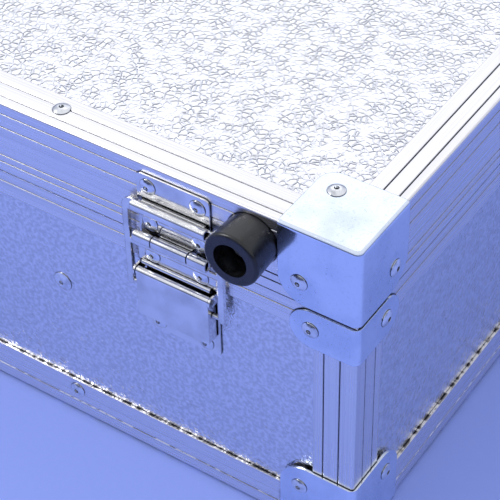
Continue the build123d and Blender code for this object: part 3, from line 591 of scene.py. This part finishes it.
@dataclass(frozen=True)
class MouldedRubber:
    """Black rubber or soft vinyl, moulded.

    The eye sees a deep black with a soft sheen, fine grain and a dusty bloom here and there.

    Attributes:
        polish: least and most of its roughness, as shares of the middle value.
    """

    name: str
    colour: str = "#060607"
    bloom: str = "#29292e"
    roughness: float = 0.4
    polish: Span = (0.8, 1.4)
    grain: float = 0.45 * MM
    grain_depth: float = 0.015 * MM
    cloud: float = 6 * MM
    cloud_span: Span = (0.4, 0.7)
    cloud_strength: float = 0.35
    scuff_scale: Triple = (900, 120, 500)
    scuff_span: Span = (0.62, 0.72)
    scuff_strength: float = 0.5
    dust: float = 0.9 * MM
    dust_span: Span = (0.68, 0.74)
    dust_strength: float = 0.6
    pale_dullness: float = 0.4
    dull_span: Span = (0.3, 0.8)

    def build(self) -> bpy.types.Material:
        """Builds the material."""
        s = Surface(self.name)
        clouds = s.noise(self.cloud, RICH)
        scuffs = s.ramp(s.streaks(self.scuff_scale, SOFT), self.scuff_span)
        dust = s.ramp(s.noise(self.dust, SOFT), self.dust_span)
        pale = s.plus(s.times(scuffs, self.scuff_strength), s.times(dust, self.dust_strength))
        cloudy = s.times(s.ramp(clouds, self.cloud_span), self.cloud_strength)
        dull = s.plus(clouds, s.times(pale, self.pale_dullness))
        rough = (self.roughness * self.polish[0], self.roughness * self.polish[1])
        return s.close(
            Base_Color=s.blend(s.plus(pale, cloudy), self.colour, self.bloom),
            Metallic=0.0,
            Roughness=s.ramp(dull, self.dull_span, rough),
            Normal=s.relief(s.noise(self.grain, FINE), self.grain_depth),
            IOR=1.55,
        )


@dataclass(frozen=True)
class CutFoam:
    """Dark grey open-cell packing foam, cut with a wire and a knife.

    The eye sees a matt dark surface made of tiny pores, with lighter cell walls that catch light.
    """

    colour: str = "#36373a"
    pore_colour: str = "#17171a"
    pore: float = 1.4 * MM
    wave: float = 2 * MM
    wander: float = 0.8 * MM
    wall_span: Span = (0.1, 0.55)
    fuzz: float = 0.5 * MM
    fuzz_span: Span = (0.3, 0.7)
    roughness: Span = (0.85, 1.0)
    depth: float = 0.35 * MM

    def build(self) -> bpy.types.Material:
        """Builds the material."""
        s = Surface("open_cell_foam")
        walls = s.ramp(s.cells(self.pore, self.wave, self.wander, "F1"), self.wall_span)
        fuzz = s.noise(self.fuzz, FINE)
        return s.close(
            Base_Color=s.blend(s.times(walls, fuzz), self.pore_colour, self.colour),
            Metallic=0.0,
            Roughness=s.ramp(fuzz, self.fuzz_span, self.roughness),
            Normal=s.relief(s.plus(walls, fuzz), self.depth),
            Sheen_Weight=0.15,
        )


@dataclass(frozen=True)
class BirchPlywood:
    """Bare birch plywood strips with sawn edges.

    The eye sees pale and darker plies in turn, with long grain. A wave texture of scale s repeats
    every pi / (10 * s) metres.

    Attributes:
        ply: thickness of a pale ply with its dark one.
        bend: how far the plies stray from flat, in the texture's own measure.
    """

    pale: str = "#cdb48a"
    dark: str = "#9c7c50"
    ply: float = 1.3 * MM
    bend: float = 0.6
    ply_strength: float = 0.5
    grain_scale: Triple = (60, 60, 500)
    grain_span: Span = (0.3, 0.7)
    grain_strength: float = 0.5
    grain_depth: float = 0.05 * MM
    roughness: Span = (0.6, 0.8)

    def build(self) -> bpy.types.Material:
        """Builds the material."""
        s = Surface("birch_plywood")
        grain = s.streaks(self.grain_scale, RICH)
        sockets = {
            "Vector": s.place,
            "Scale": math.pi / (10 * self.ply),
            "Distortion": self.bend,
        }
        layers = add_node(
            s.tree, "ShaderNodeTexWave", sockets, wave_type="BANDS", bands_direction="Z"
        ).outputs["Fac"]
        figure = s.times(s.ramp(grain, self.grain_span), self.grain_strength)
        tone = s.plus(s.times(layers, self.ply_strength), figure)
        return s.close(
            Base_Color=s.blend(tone, self.pale, self.dark),
            Metallic=0.0,
            Roughness=s.ramp(grain, self.grain_span, self.roughness),
            Normal=s.relief(grain, self.grain_depth),
        )


@dataclass(frozen=True)
class StudioSheet:
    """Pale blue matt background paper. The eye sees an even tone with a very faint tooth."""

    colour: str = "#94a7f1"
    tooth_colour: str = "#90a3ef"
    tooth: float = 4 * MM

    def build(self) -> bpy.types.Material:
        """Builds the material."""
        s = Surface("pale_background_paper")
        return s.close(
            Base_Color=s.blend(s.noise(self.tooth, FINE), self.colour, self.tooth_colour),
            Metallic=0.0,
            Roughness=0.9,
        )


# Shapes


def surface(name: str, grid: Points, around: bool, fill_ends: bool) -> bpy.types.Object:
    """Makes a mesh from a grid of points.

    The face at row i and column j has the corners (i, j), (i, j+1), (i+1, j+1) and (i+1, j), and
    with a closed round the last column joins the first. Filled ends are single faces on the first
    and last rows.

    Args:
        name: object name.
        grid: points, rows by columns by 3, in metres.
        around: true where the columns close into a ring.
        fill_ends: true where the first and last rows are closed by a face.

    Returns:
        The new object, smooth shaded.
    """
    rows, columns = grid.shape[:2]
    index = np.arange(rows * columns).reshape(rows, columns)
    right = np.roll(index, -1, axis=1)
    last = columns if around else columns - 1
    quads = np.stack(
        [index[:-1, :last], right[:-1, :last], right[1:, :last], index[1:, :last]], axis=-1
    ).reshape(-1, 4)
    loops = quads.reshape(-1)
    sizes = np.full(len(quads), 4)
    if fill_ends:
        loops = np.concatenate([loops, index[0][::-1], index[-1]])
        sizes = np.concatenate([sizes, [columns, columns]])
    starts = np.concatenate([[0], np.cumsum(sizes)[:-1]])
    mesh = bpy.data.meshes.new(name)
    mesh.vertices.add(rows * columns)
    mesh.vertices.foreach_set("co", grid.reshape(-1).astype(np.float32))
    mesh.loops.add(len(loops))
    mesh.loops.foreach_set("vertex_index", loops.astype(np.int32))
    mesh.polygons.add(len(sizes))
    mesh.polygons.foreach_set("loop_start", starts.astype(np.int32))
    mesh.update(calc_edges=True)
    mesh.validate()
    mesh.shade_smooth()
    mesh.set_sharp_from_angle(angle=SHARP_ANGLE)
    thing = bpy.data.objects.new(name, mesh)
    bpy.context.scene.collection.objects.link(thing)
    return thing


def rounded(corners: Points, radius: float, steps: int = 9, gap: float = 6 * MM) -> Points:
    """Rounds the corners of a closed outline given anticlockwise.

    At each corner the arc's centre lies at radius / cos(half the turn) along the bisector, and the
    arc swings from one side's normal to the next. Straight sides get points a gap apart.

    Args:
        corners: corner points, N by 2.
        radius: corner radius in metres.
        steps: points on each arc.
        gap: spacing of the points on straight sides, in metres.

    Returns:
        Outline points, M by 2, in order.
    """
    before = corners - np.roll(corners, 1, axis=0)
    after = np.roll(corners, -1, axis=0) - corners
    before /= np.linalg.norm(before, axis=1, keepdims=True)
    after /= np.linalg.norm(after, axis=1, keepdims=True)
    cross = before[:, 0] * after[:, 1] - before[:, 1] * after[:, 0]
    turn = np.sign(cross)[:, None]
    inward = np.stack([-before[:, 1], before[:, 0]], axis=1) * turn
    half = np.arctan2(np.abs(cross), (before * after).sum(axis=1)) / 2
    start = corners - before * (radius * np.tan(half))[:, None]
    centre = start + inward * radius
    swing = np.linspace(0, 1, steps)[None, :] * (2 * half * turn[:, 0])[:, None]
    arm = start - centre
    arc = np.stack(
        [
            centre[:, :1] + arm[:, :1] * np.cos(swing) - arm[:, 1:] * np.sin(swing),
            centre[:, 1:] + arm[:, :1] * np.sin(swing) + arm[:, 1:] * np.cos(swing),
        ],
        axis=-1,
    ).reshape(-1, 2)
    closed = np.vstack([arc, arc[:1]])
    travel = np.concatenate([[0], np.cumsum(np.linalg.norm(np.diff(closed, axis=0), axis=1))])
    extra = np.arange(0, travel[-1], gap)
    where = np.unique(np.concatenate([travel[:-1], extra]))
    return np.stack([np.interp(where, travel, closed[:, k]) for k in (0, 1)], axis=1)


def reach(outline: Points, centre: Points, angles: Points) -> Points:
    """Reads a closed outline at given angles about a centre, between its points.

    Args:
        outline: outline points that a ray from the centre meets once.
        centre: the centre, 2 values.
        angles: angles in radians, from -pi to pi.

    Returns:
        Points on the outline, one for each angle.
    """
    arm = outline - centre
    angle = np.arctan2(arm[:, 1], arm[:, 0])
    order = np.argsort(angle)
    x = np.interp(angles, angle[order], outline[order, 0], period=2 * math.pi)
    y = np.interp(angles, angle[order], outline[order, 1], period=2 * math.pi)
    return np.stack([x, y], axis=1)


@dataclass(frozen=True)
class Outline:
    """Closed right-angled outline, given anticlockwise, with rounded corners.

    Attributes:
        corners: corner points, N by 2.
        radius: radius of the corners.
        least_radius: radius that they keep where the outline is drawn far in.
    """

    corners: Points
    radius: float
    least_radius: float = 0.5 * MM

    def drawn_in(self, distance: float) -> Points:
        """Gives the outline's points with each side moved to its inside by a distance."""
        after = np.roll(self.corners, -1, axis=0) - self.corners
        after /= np.linalg.norm(after, axis=1, keepdims=True)
        normal = np.stack([-after[:, 1], after[:, 0]], axis=1)
        corners = self.corners + (normal + np.roll(normal, 1, axis=0)) * distance
        return rounded(corners, max(self.radius - distance, self.least_radius))


def storey(loop: Points, level: float) -> Points:
    """Lifts a flat loop to a height."""
    return np.column_stack([loop, np.full(len(loop), level)])


def dress(material: bpy.types.Material, *nodes: str) -> None:
    """Gives carried-over nodes their finish and reports each."""
    for name in nodes:
        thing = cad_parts[name]
        thing.data.materials.clear()
        thing.data.materials.append(material)
        LOG.info("%s wears %s", name, material.name)


def stand_in(
    piece: bpy.types.Object, node: str, body: str, material: bpy.types.Material
) -> None:
    """Lets a new piece stand for a node, and ride on that node's body.

    Args:
        piece: the new object.
        node: node that it replaces.
        body: body that it rides on.
        material: its finish.
    """
    piece.data.materials.append(material)
    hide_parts(node)
    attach(piece, body)
    LOG.info("%s stands for %s with %d faces", piece.name, node, len(piece.data.polygons))


# Sub-assemblies


@dataclass
class Shell:
    """Boards and extrusions of the lid and the base.

    The rails and posts that run along Y and Z have more painted shade in their grooves than those
    along X, and the low rails, round the floor, have the most, lifted in random patches.
    """

    lid_grain: Grain = Grain(cracks=0.4, mottle=0.0, pebbles=1.0, peel=0.4)
    wall_grain: Grain = Grain(cracks=0.0, mottle=0.5, pebbles=0.4, peel=0.5)
    side_clear: Span = (0.68, 0.95)
    low_clear: Span = (0.66, 0.95)
    low_grime: float = 2.4 * MM
    low_wiped: float = 0.9
    sides: tuple[tuple[str, Outward], ...] = (
        ("front_panel", Outward.FRONT),
        ("back_panel", Outward.BACK),
        ("left_panel", Outward.LEFT),
        ("right_panel", Outward.RIGHT),
        ("lid_panel", Outward.TOP),
        ("floor_panel", Outward.UNDER),
    )

    def dress(self) -> None:
        """Dresses the boards by the face they look out of, and the rails by the way they run."""
        for name, outward in self.sides:
            axis, sign = outward.value
            low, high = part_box(name)
            level = (high if sign > 0 else low)[axis]
            grain = self.lid_grain if outward is Outward.TOP else self.wall_grain
            dress(FacedBoard(outward, level, grain).build(), name)
        along_x = DrawnAluminium(Run.X).build()
        along_y = DrawnAluminium(Run.Y, clear=self.side_clear).build()
        along_z = DrawnAluminium(Run.Z, clear=self.side_clear).build()
        # Low rails: painted gap shade with a wider reach, lifted in random patches
        low_x, low_y = (
            DrawnAluminium(run, "low_rail", self.low_clear, self.low_grime, self.low_wiped).build()
            for run in (Run.X, Run.Y)
        )
        rails = ("lid_rail", "rim_rail")
        dress(along_x, *(f"{rail}_{face}" for rail in rails for face in FACES))
        dress(along_y, *(f"{rail}_{end}" for rail in rails for end in ENDS))
        dress(low_x, *(f"bottom_rail_{face}" for face in FACES))
        dress(low_y, *(f"bottom_rail_{end}" for end in ENDS))
        dress(along_z, *(f"post_{corner}" for corner in CORNERS), "divider")
        dress(BirchPlywood().build(), "lid_frame")


@dataclass
class CornerFittings:
    """Pressed corners and straps."""

    kinds: tuple[str, ...] = ("lid_corner", "bottom_corner", "corner_strap")

    def dress(self) -> None:
        """Dresses the four fittings of each kind."""
        fittings = (f"{kind}_{corner}" for kind in self.kinds for corner in CORNERS)
        dress(BrightZinc().build(), *fittings)


@dataclass
class Fastenings:
    """Draw latches, hinges, rivets, pins and buffers.

    Attributes:
        bail_edge: radius of the bails' edges, which are bent round like a bar's.
        lever_grime: how far painted shade reaches out of the levers' gaps, darkening the cavity
            behind them.
    """

    latch_parts: tuple[str, ...] = ("catch_plate", "keeper_plate")
    bail_edge: float = 1.0 * MM
    lever_grime: float = 5.0 * MM

    def dress(self) -> None:
        """Dresses every latch and hinge part, with its fixings."""
        nickel = BrightNickel().build()
        dress(nickel, *(f"latch_{part}_{end}" for part in self.latch_parts for end in ENDS))
        dress(nickel, *(f"hinge_{leaf}_leaf_{end}" for leaf in ("lid", "base") for end in ENDS))
        dress(nickel, "handle_plate", "handle_loop")
        bail = BrightNickel(self.bail_edge)
        dress(bail.build(), *(f"latch_bail_{end}" for end in ENDS))
        # Painted shade reaching far out of the levers' gaps, so the cavity behind them reads dark
        lever = BrightNickel(grime=self.lever_grime)
        dress(lever.build(), *(f"latch_lever_{end}" for end in ENDS))
        rivet = TurnedMetal("bright_aluminium_rivet", "#eceef0", "#c8cacf", 0.2)
        dress(rivet.build(), "lid_rivets", "base_rivets")
        pin = TurnedMetal("plain_steel_pin", "#b9bbbe", "#8e9094", 0.28)
        dress(pin.build(), "latch_pins", "hinge_pins", "buffer_screws")
        rubber = MouldedRubber("black_moulded_rubber", roughness=0.3)
        dress(rubber.build(), *(f"rubber_buffer_{end}" for end in ENDS))


@dataclass
class GripSleeve:
    """Ribbed vinyl sleeve on the carrying handle.

    Attributes:
        outer: radius over the ribs.
        bore: radius of the hole.
        groove: depth between the ribs.
        crowding: how far the rows of points crowd to the ends, from 0 to 1.
    """

    outer: float = 7.2 * MM
    bore: float = 3.55 * MM
    groove: float = 0.7 * MM
    rib_pitch: float = 4.2 * MM
    end_radius: float = 1.6 * MM
    crowding: float = 0.35
    columns: int = 48
    rows: int = 241

    def build(self) -> None:
        """Builds the sleeve.

        Radius along the sleeve is the outer radius less groove * sin^2(pi * x / rib_pitch), and
        less a quarter circle at each end. The ribs ease out in the last two pitches, and the last
        rows turn in to the bore.
        """
        low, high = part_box("handle_grip")
        centre = (low + high) / 2
        half = (high.x - low.x) / 2
        even = np.linspace(-half, half, self.rows)
        crowded = half * np.sin(even / half * math.pi / 2)
        x = crowded * self.crowding + even * (1 - self.crowding)
        from_end = half - np.abs(x)
        ease = np.clip((from_end - self.rib_pitch) / self.rib_pitch, 0, 1)
        ribs = self.groove * np.sin(math.pi * x / self.rib_pitch) ** 2 * ease
        rounding = np.clip(1 - from_end / self.end_radius, 0, 1)
        radius = self.outer - ribs - self.end_radius * (1 - np.sqrt(1 - rounding**2))
        x = np.concatenate([[-half], x, [half]])
        radius = np.concatenate([[self.bore], radius, [self.bore]])
        angle = np.linspace(0, 2 * math.pi, self.columns, endpoint=False)
        across = np.stack([np.cos(angle), np.sin(angle)], axis=1)
        grid = np.empty((len(x), self.columns, 3))
        grid[..., 0] = centre.x + x[:, None]
        grid[..., 1] = centre.y + radius[:, None] * across[None, :, 0]
        grid[..., 2] = centre.z + radius[:, None] * across[None, :, 1]
        piece = surface("ribbed_grip", grid[::-1], around=True, fill_ends=True)
        vinyl = MouldedRubber("black_ribbed_vinyl", "#17171a", "#2b2b2f", 0.5).build()
        stand_in(piece, "handle_grip", "handle", vinyl)


@dataclass
class FoamBed:
    """Foam block that the tool lies in, with softened edges and a pocket cut to its outline.

    Attributes:
        length: length of the whole pocket.
        width: width of its long part.
        grip_length: length of its broad end, for the tool's grip.
        grip_width: width of its broad end.
        from_end: thickness of the foam at its broad end.
        swell: how far the top bulges up.
        side_rows: rows of points up the outer side. The other rows are those of the roll, of the
            top between side and pocket, and of the pocket's wall.
        sole_rings: sizes of the last rings on the pocket's floor, as shares of the first.
        angle_digits: decimals of the angles at which rings are read.
    """

    length: float = 390 * MM
    width: float = 110 * MM
    grip_length: float = 100 * MM
    grip_width: float = 250 * MM
    depth: float = 55 * MM
    pocket_radius: float = 14 * MM
    block_radius: float = 3 * MM
    softening: float = 3.5 * MM
    from_end: float = 30.25 * MM
    swell: float = 0.7 * MM
    side_rows: int = 5
    roll_rows: int = 6
    land_rows: int = 10
    wall_rows: int = 7
    sole_rings: tuple[float, ...] = (0.6, 0.25)
    angle_digits: int = 3

    def pocket(self, low: Vector, high: Vector) -> Points:
        """Gives the pocket's eight corners, anticlockwise, inside the block's box."""
        middle = (low.y + high.y) / 2
        x0 = low.x + self.from_end
        x1, x2 = x0 + self.grip_length, x0 + self.length
        narrow, broad = self.width / 2, self.grip_width / 2
        return np.array(
            [
                (x0, middle - broad),
                (x1, middle - broad),
                (x1, middle - narrow),
                (x2, middle - narrow),
                (x2, middle + narrow),
                (x1, middle + narrow),
                (x1, middle + broad),
                (x0, middle + broad),
            ]
        )

    def build(self) -> None:
        """Builds the block as one skin of rings, all read at the same angles.

        The angles turn about the middle of the pocket's broad end. Rings climb the outer side, roll
        over a quarter circle, cross the top with a slight swell of swell * sin(pi * way), dip and
        rise over a bead round the pocket, go down its wall and shrink to the floor.
        """
        low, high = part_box("foam_bed")
        sides = [(low.x, low.y), (high.x, low.y), (high.x, high.y), (low.x, high.y)]
        block = Outline(np.array(sides), self.block_radius)
        pocket = Outline(self.pocket(low, high), self.pocket_radius)
        centre = np.array([pocket.corners[0, 0] + self.grip_length / 2, (low.y + high.y) / 2])
        arms = np.vstack([block.drawn_in(0.0), pocket.drawn_in(0.0)]) - centre
        angles = np.unique(np.round(np.arctan2(arms[:, 1], arms[:, 0]), self.angle_digits))

        def ring(outline: Outline, distance: float) -> Points:
            """Gives an outline drawn in by a distance, at the shared angles."""
            return reach(outline.drawn_in(distance), centre, angles)

        soft, top, floor = self.softening, high.z - self.swell, high.z - self.depth
        quarter = np.linspace(0, math.pi / 2, self.roll_rows)
        roll = [(math.cos(turn), math.sin(turn)) for turn in quarter]
        climb = np.linspace(low.z, top - soft, self.side_rows)
        side = [storey(ring(block, 0.0), z) for z in climb]
        lip = [storey(ring(block, soft * (1 - c)), top - soft * (1 - s)) for c, s in roll[1:]]
        start, goal = ring(block, soft), ring(pocket, -soft)
        land = [
            storey(start * (1 - way) + goal * way, top + self.swell * math.sin(math.pi * way))
            for way in np.linspace(0, 1, self.land_rows)[1:-1]
        ]
        bead = [storey(ring(pocket, -soft * c), top - soft * (1 - s)) for c, s in roll]
        drop = np.linspace(top - soft, floor + soft, self.wall_rows)[1:]
        wall = [storey(ring(pocket, 0.0), z) for z in drop]
        foot = [storey(ring(pocket, soft * s), floor + soft * (1 - s) ** 2) for _, s in roll[1:]]
        edge = ring(pocket, soft)
        sole = [storey(centre + (edge - centre) * share, floor) for share in self.sole_rings]
        grid = np.stack(side + lip + land + bead + wall + foot + sole)
        piece = surface("cut_foam_bed", grid, around=True, fill_ends=True)
        stand_in(piece, "foam_bed", "base", CutFoam().build())


@dataclass
class LidFoam:
    """Egg-crate foam glued into the lid, its waves looking down.

    Attributes:
        wave: length of a wave.
        height: how far the waves reach down.
        border: width over which they fade out at the rim.
        flat_share: width of the flat rim, as a share of the border.
        step: spacing of the points.
    """

    wave: float = 36 * MM
    height: float = 11 * MM
    border: float = 9 * MM
    flat_share: float = 0.2
    step: float = 4 * MM

    def build(self) -> None:
        """Builds the sheet as a closed skin of rings.

        The underside lies height / 2 * (1 - cos(k * x) * cos(k * y)) above its lowest level, with
        k = 2 * pi / wave. Near the rim it fades smoothly into a flat border. Each row runs across
        the underside and then back over the flat top, so that it is a closed ring.
        """
        low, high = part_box("lid_foam")
        count_x = int((high.x - low.x) / self.step) + 1
        count_y = int((high.y - low.y) / self.step) + 1
        x, y = np.meshgrid(
            np.linspace(low.x, high.x, count_x), np.linspace(low.y, high.y, count_y), indexing="ij"
        )
        k = 2 * math.pi / self.wave
        edge = np.minimum.reduce([x - low.x, high.x - x, y - low.y, high.y - y])
        fade = np.clip((edge - self.border * self.flat_share) / self.border, 0, 1)
        fade = fade * fade * (3 - 2 * fade)
        middle_x, middle_y = (low.x + high.x) / 2, (low.y + high.y) / 2
        waves = (1 + np.cos(k * (x - middle_x)) * np.cos(k * (y - middle_y))) / 2
        lift = self.height * (1 - fade + fade * (1 - waves))
        under = np.stack([x, y, low.z + lift], axis=-1)
        over = np.stack([x, y, np.full_like(x, high.z)], axis=-1)
        grid = np.concatenate([under, over[:, ::-1]], axis=1)
        piece = surface("egg_crate_foam", grid, around=True, fill_ends=True)
        stand_in(piece, "lid_foam", "lid", CutFoam().build())


@dataclass(frozen=True)
class Softbox:
    """Square softbox: where it hangs, its side in metres and its power in watts."""

    name: str
    place: Triple
    side: float
    power: float


@dataclass
class Studio:
    """Floor, lamps, surroundings and the camera at the photograph's angle.

    Attributes:
        corner: the case's near top corner, which lamps look at.
        stand_off: where the camera stands, from that corner.
        azimuth: its angle round from the front, to the right.
        elevation: its angle above the floor.
        roll: its turn about its own line of sight.
        lens: its focal length in millimetres, on a sensor as wide as sensor.
        floor_half: half the side of the floor.
        lean: how much y counts in the gradient's height, against 1 for z.
        sky: heights of the gradient, and the tone at each.
    """

    corner: Triple = (0.314, -0.1614, 0.1842)
    stand_off: Triple = (0.2601, -0.4517, 0.4806)
    azimuth: float = math.radians(34.66)
    elevation: float = math.radians(42.50)
    roll: float = math.radians(1.52)
    lens: float = 129.9
    sensor: float = 36.0
    nearest: float = 0.01
    floor_half: float = 24.0
    floor_lines: int = 9
    backdrop: str = "#b9c5f5"
    lean: float = 0.12
    sky: tuple[tuple[float, str], ...] = (
        (0.0, "#20263f"),
        (0.1, "#39415f"),
        (0.24, "#c3cce6"),
        (0.5, "#eaeefa"),
        (1.0, "#f4f6fc"),
    )
    lamps: tuple[Softbox, ...] = (
        Softbox("overhead_softbox", (-0.55, 1.15, 1.65), 1.9, 4.6),
        Softbox("key_softbox", (-1.5, -1.1, 1.7), 1.0, 24.0),
    )

    def floor(self) -> None:
        """Lays the floor, a flat grid whose rows run along X."""
        line = np.linspace(-self.floor_half, self.floor_half, self.floor_lines)
        y, x = np.meshgrid(line, line, indexing="ij")
        grid = np.stack([x, y, np.zeros_like(x)], axis=-1)
        sheet = surface("studio_floor", grid, around=False, fill_ends=False)
        sheet.data.materials.append(StudioSheet().build())

    def surroundings(self) -> None:
        """Makes the room a gradient from a dim skirting to near white overhead.

        The gradient runs over z + lean * y of the direction looked in, so the wall behind the
        camera is dim to a greater height than the one behind the case. The camera itself sees a
        plain backdrop.
        """
        world = bpy.data.worlds.new("soft_surroundings")
        world.use_nodes = True
        tree = world.node_tree
        tree.nodes.clear()
        heading = add_node(tree, "ShaderNodeTexCoord").outputs["Generated"]
        sockets = {0: heading, 1: (0.0, self.lean, 1.0)}
        rise = add_node(tree, "ShaderNodeVectorMath", sockets, operation="DOT_PRODUCT")
        shade = add_node(tree, "ShaderNodeValToRGB", {0: rise.outputs["Value"]})
        stops = shade.color_ramp.elements
        stops[0].position, stops[1].position = 0.0, 1.0
        for place, _ in self.sky[1:-1]:
            stops.new(place)
        for stop, (place, tone) in zip(stops, self.sky):
            stop.position, stop.color = place, linear(tone)
        straight = add_node(tree, "ShaderNodeLightPath").outputs["Is Camera Ray"]
        seen = mix(tree, straight, shade.outputs["Color"], self.backdrop)
        sky = add_node(tree, "ShaderNodeBackground", {"Color": seen, "Strength": 1.0})
        add_node(tree, "ShaderNodeOutputWorld", {"Surface": sky.outputs[0]})
        bpy.context.scene.world = world

    def light(self) -> None:
        """Hangs the softboxes, each turned to look at the case's near corner."""
        aim = Vector(self.corner)
        for box in self.lamps:
            lamp = bpy.data.lights.new(box.name, "AREA")
            lamp.shape = "SQUARE"
            lamp.size = box.side
            lamp.energy = box.power
            holder = bpy.data.objects.new(box.name, lamp)
            bpy.context.scene.collection.objects.link(holder)
            turn = (aim - Vector(box.place)).to_track_quat("-Z", "Y").to_matrix().to_4x4()
            holder.matrix_world = Matrix.Translation(box.place) @ turn

    def camera(self) -> None:
        """Sets the camera from its azimuth, elevation and roll, at its stand-off."""
        a, e, r = self.azimuth, self.elevation, self.roll
        back = Vector((math.sin(a) * math.cos(e), -math.cos(a) * math.cos(e), math.sin(e)))
        across = (-back).cross(Vector((0, 0, 1))).normalized()
        down = (-back).cross(across)
        right = across * math.cos(r) + down * math.sin(r)
        below = down * math.cos(r) - across * math.sin(r)
        eye = bpy.data.cameras.new("photo_camera")
        eye.sensor_width = self.sensor
        eye.lens = self.lens
        eye.clip_start = self.nearest
        holder = bpy.data.objects.new("photo_camera", eye)
        bpy.context.scene.collection.objects.link(holder)
        turn = Matrix((right, -below, back)).transposed().to_4x4()
        stand = Vector(self.corner) + Vector(self.stand_off)
        holder.matrix_world = Matrix.Translation(stand) @ turn
        bpy.context.scene.camera = holder

    def build(self) -> None:
        """Builds the whole studio."""
        self.floor()
        self.surroundings()
        self.light()
        self.camera()
        bpy.context.scene.view_settings.view_transform = "Standard"
        LOG.info("studio stands with %d lamps", len(self.lamps))


def main() -> None:
    """Builds and dresses the case, sub-assembly by sub-assembly."""
    logging.basicConfig(level=logging.INFO, format="%(name)s: %(message)s")
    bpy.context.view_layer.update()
    Shell().dress()
    CornerFittings().dress()
    Fastenings().dress()
    GripSleeve().build()
    FoamBed().build()
    LidFoam().build()
    Studio().build()


if __name__ == "__main__":
    main()
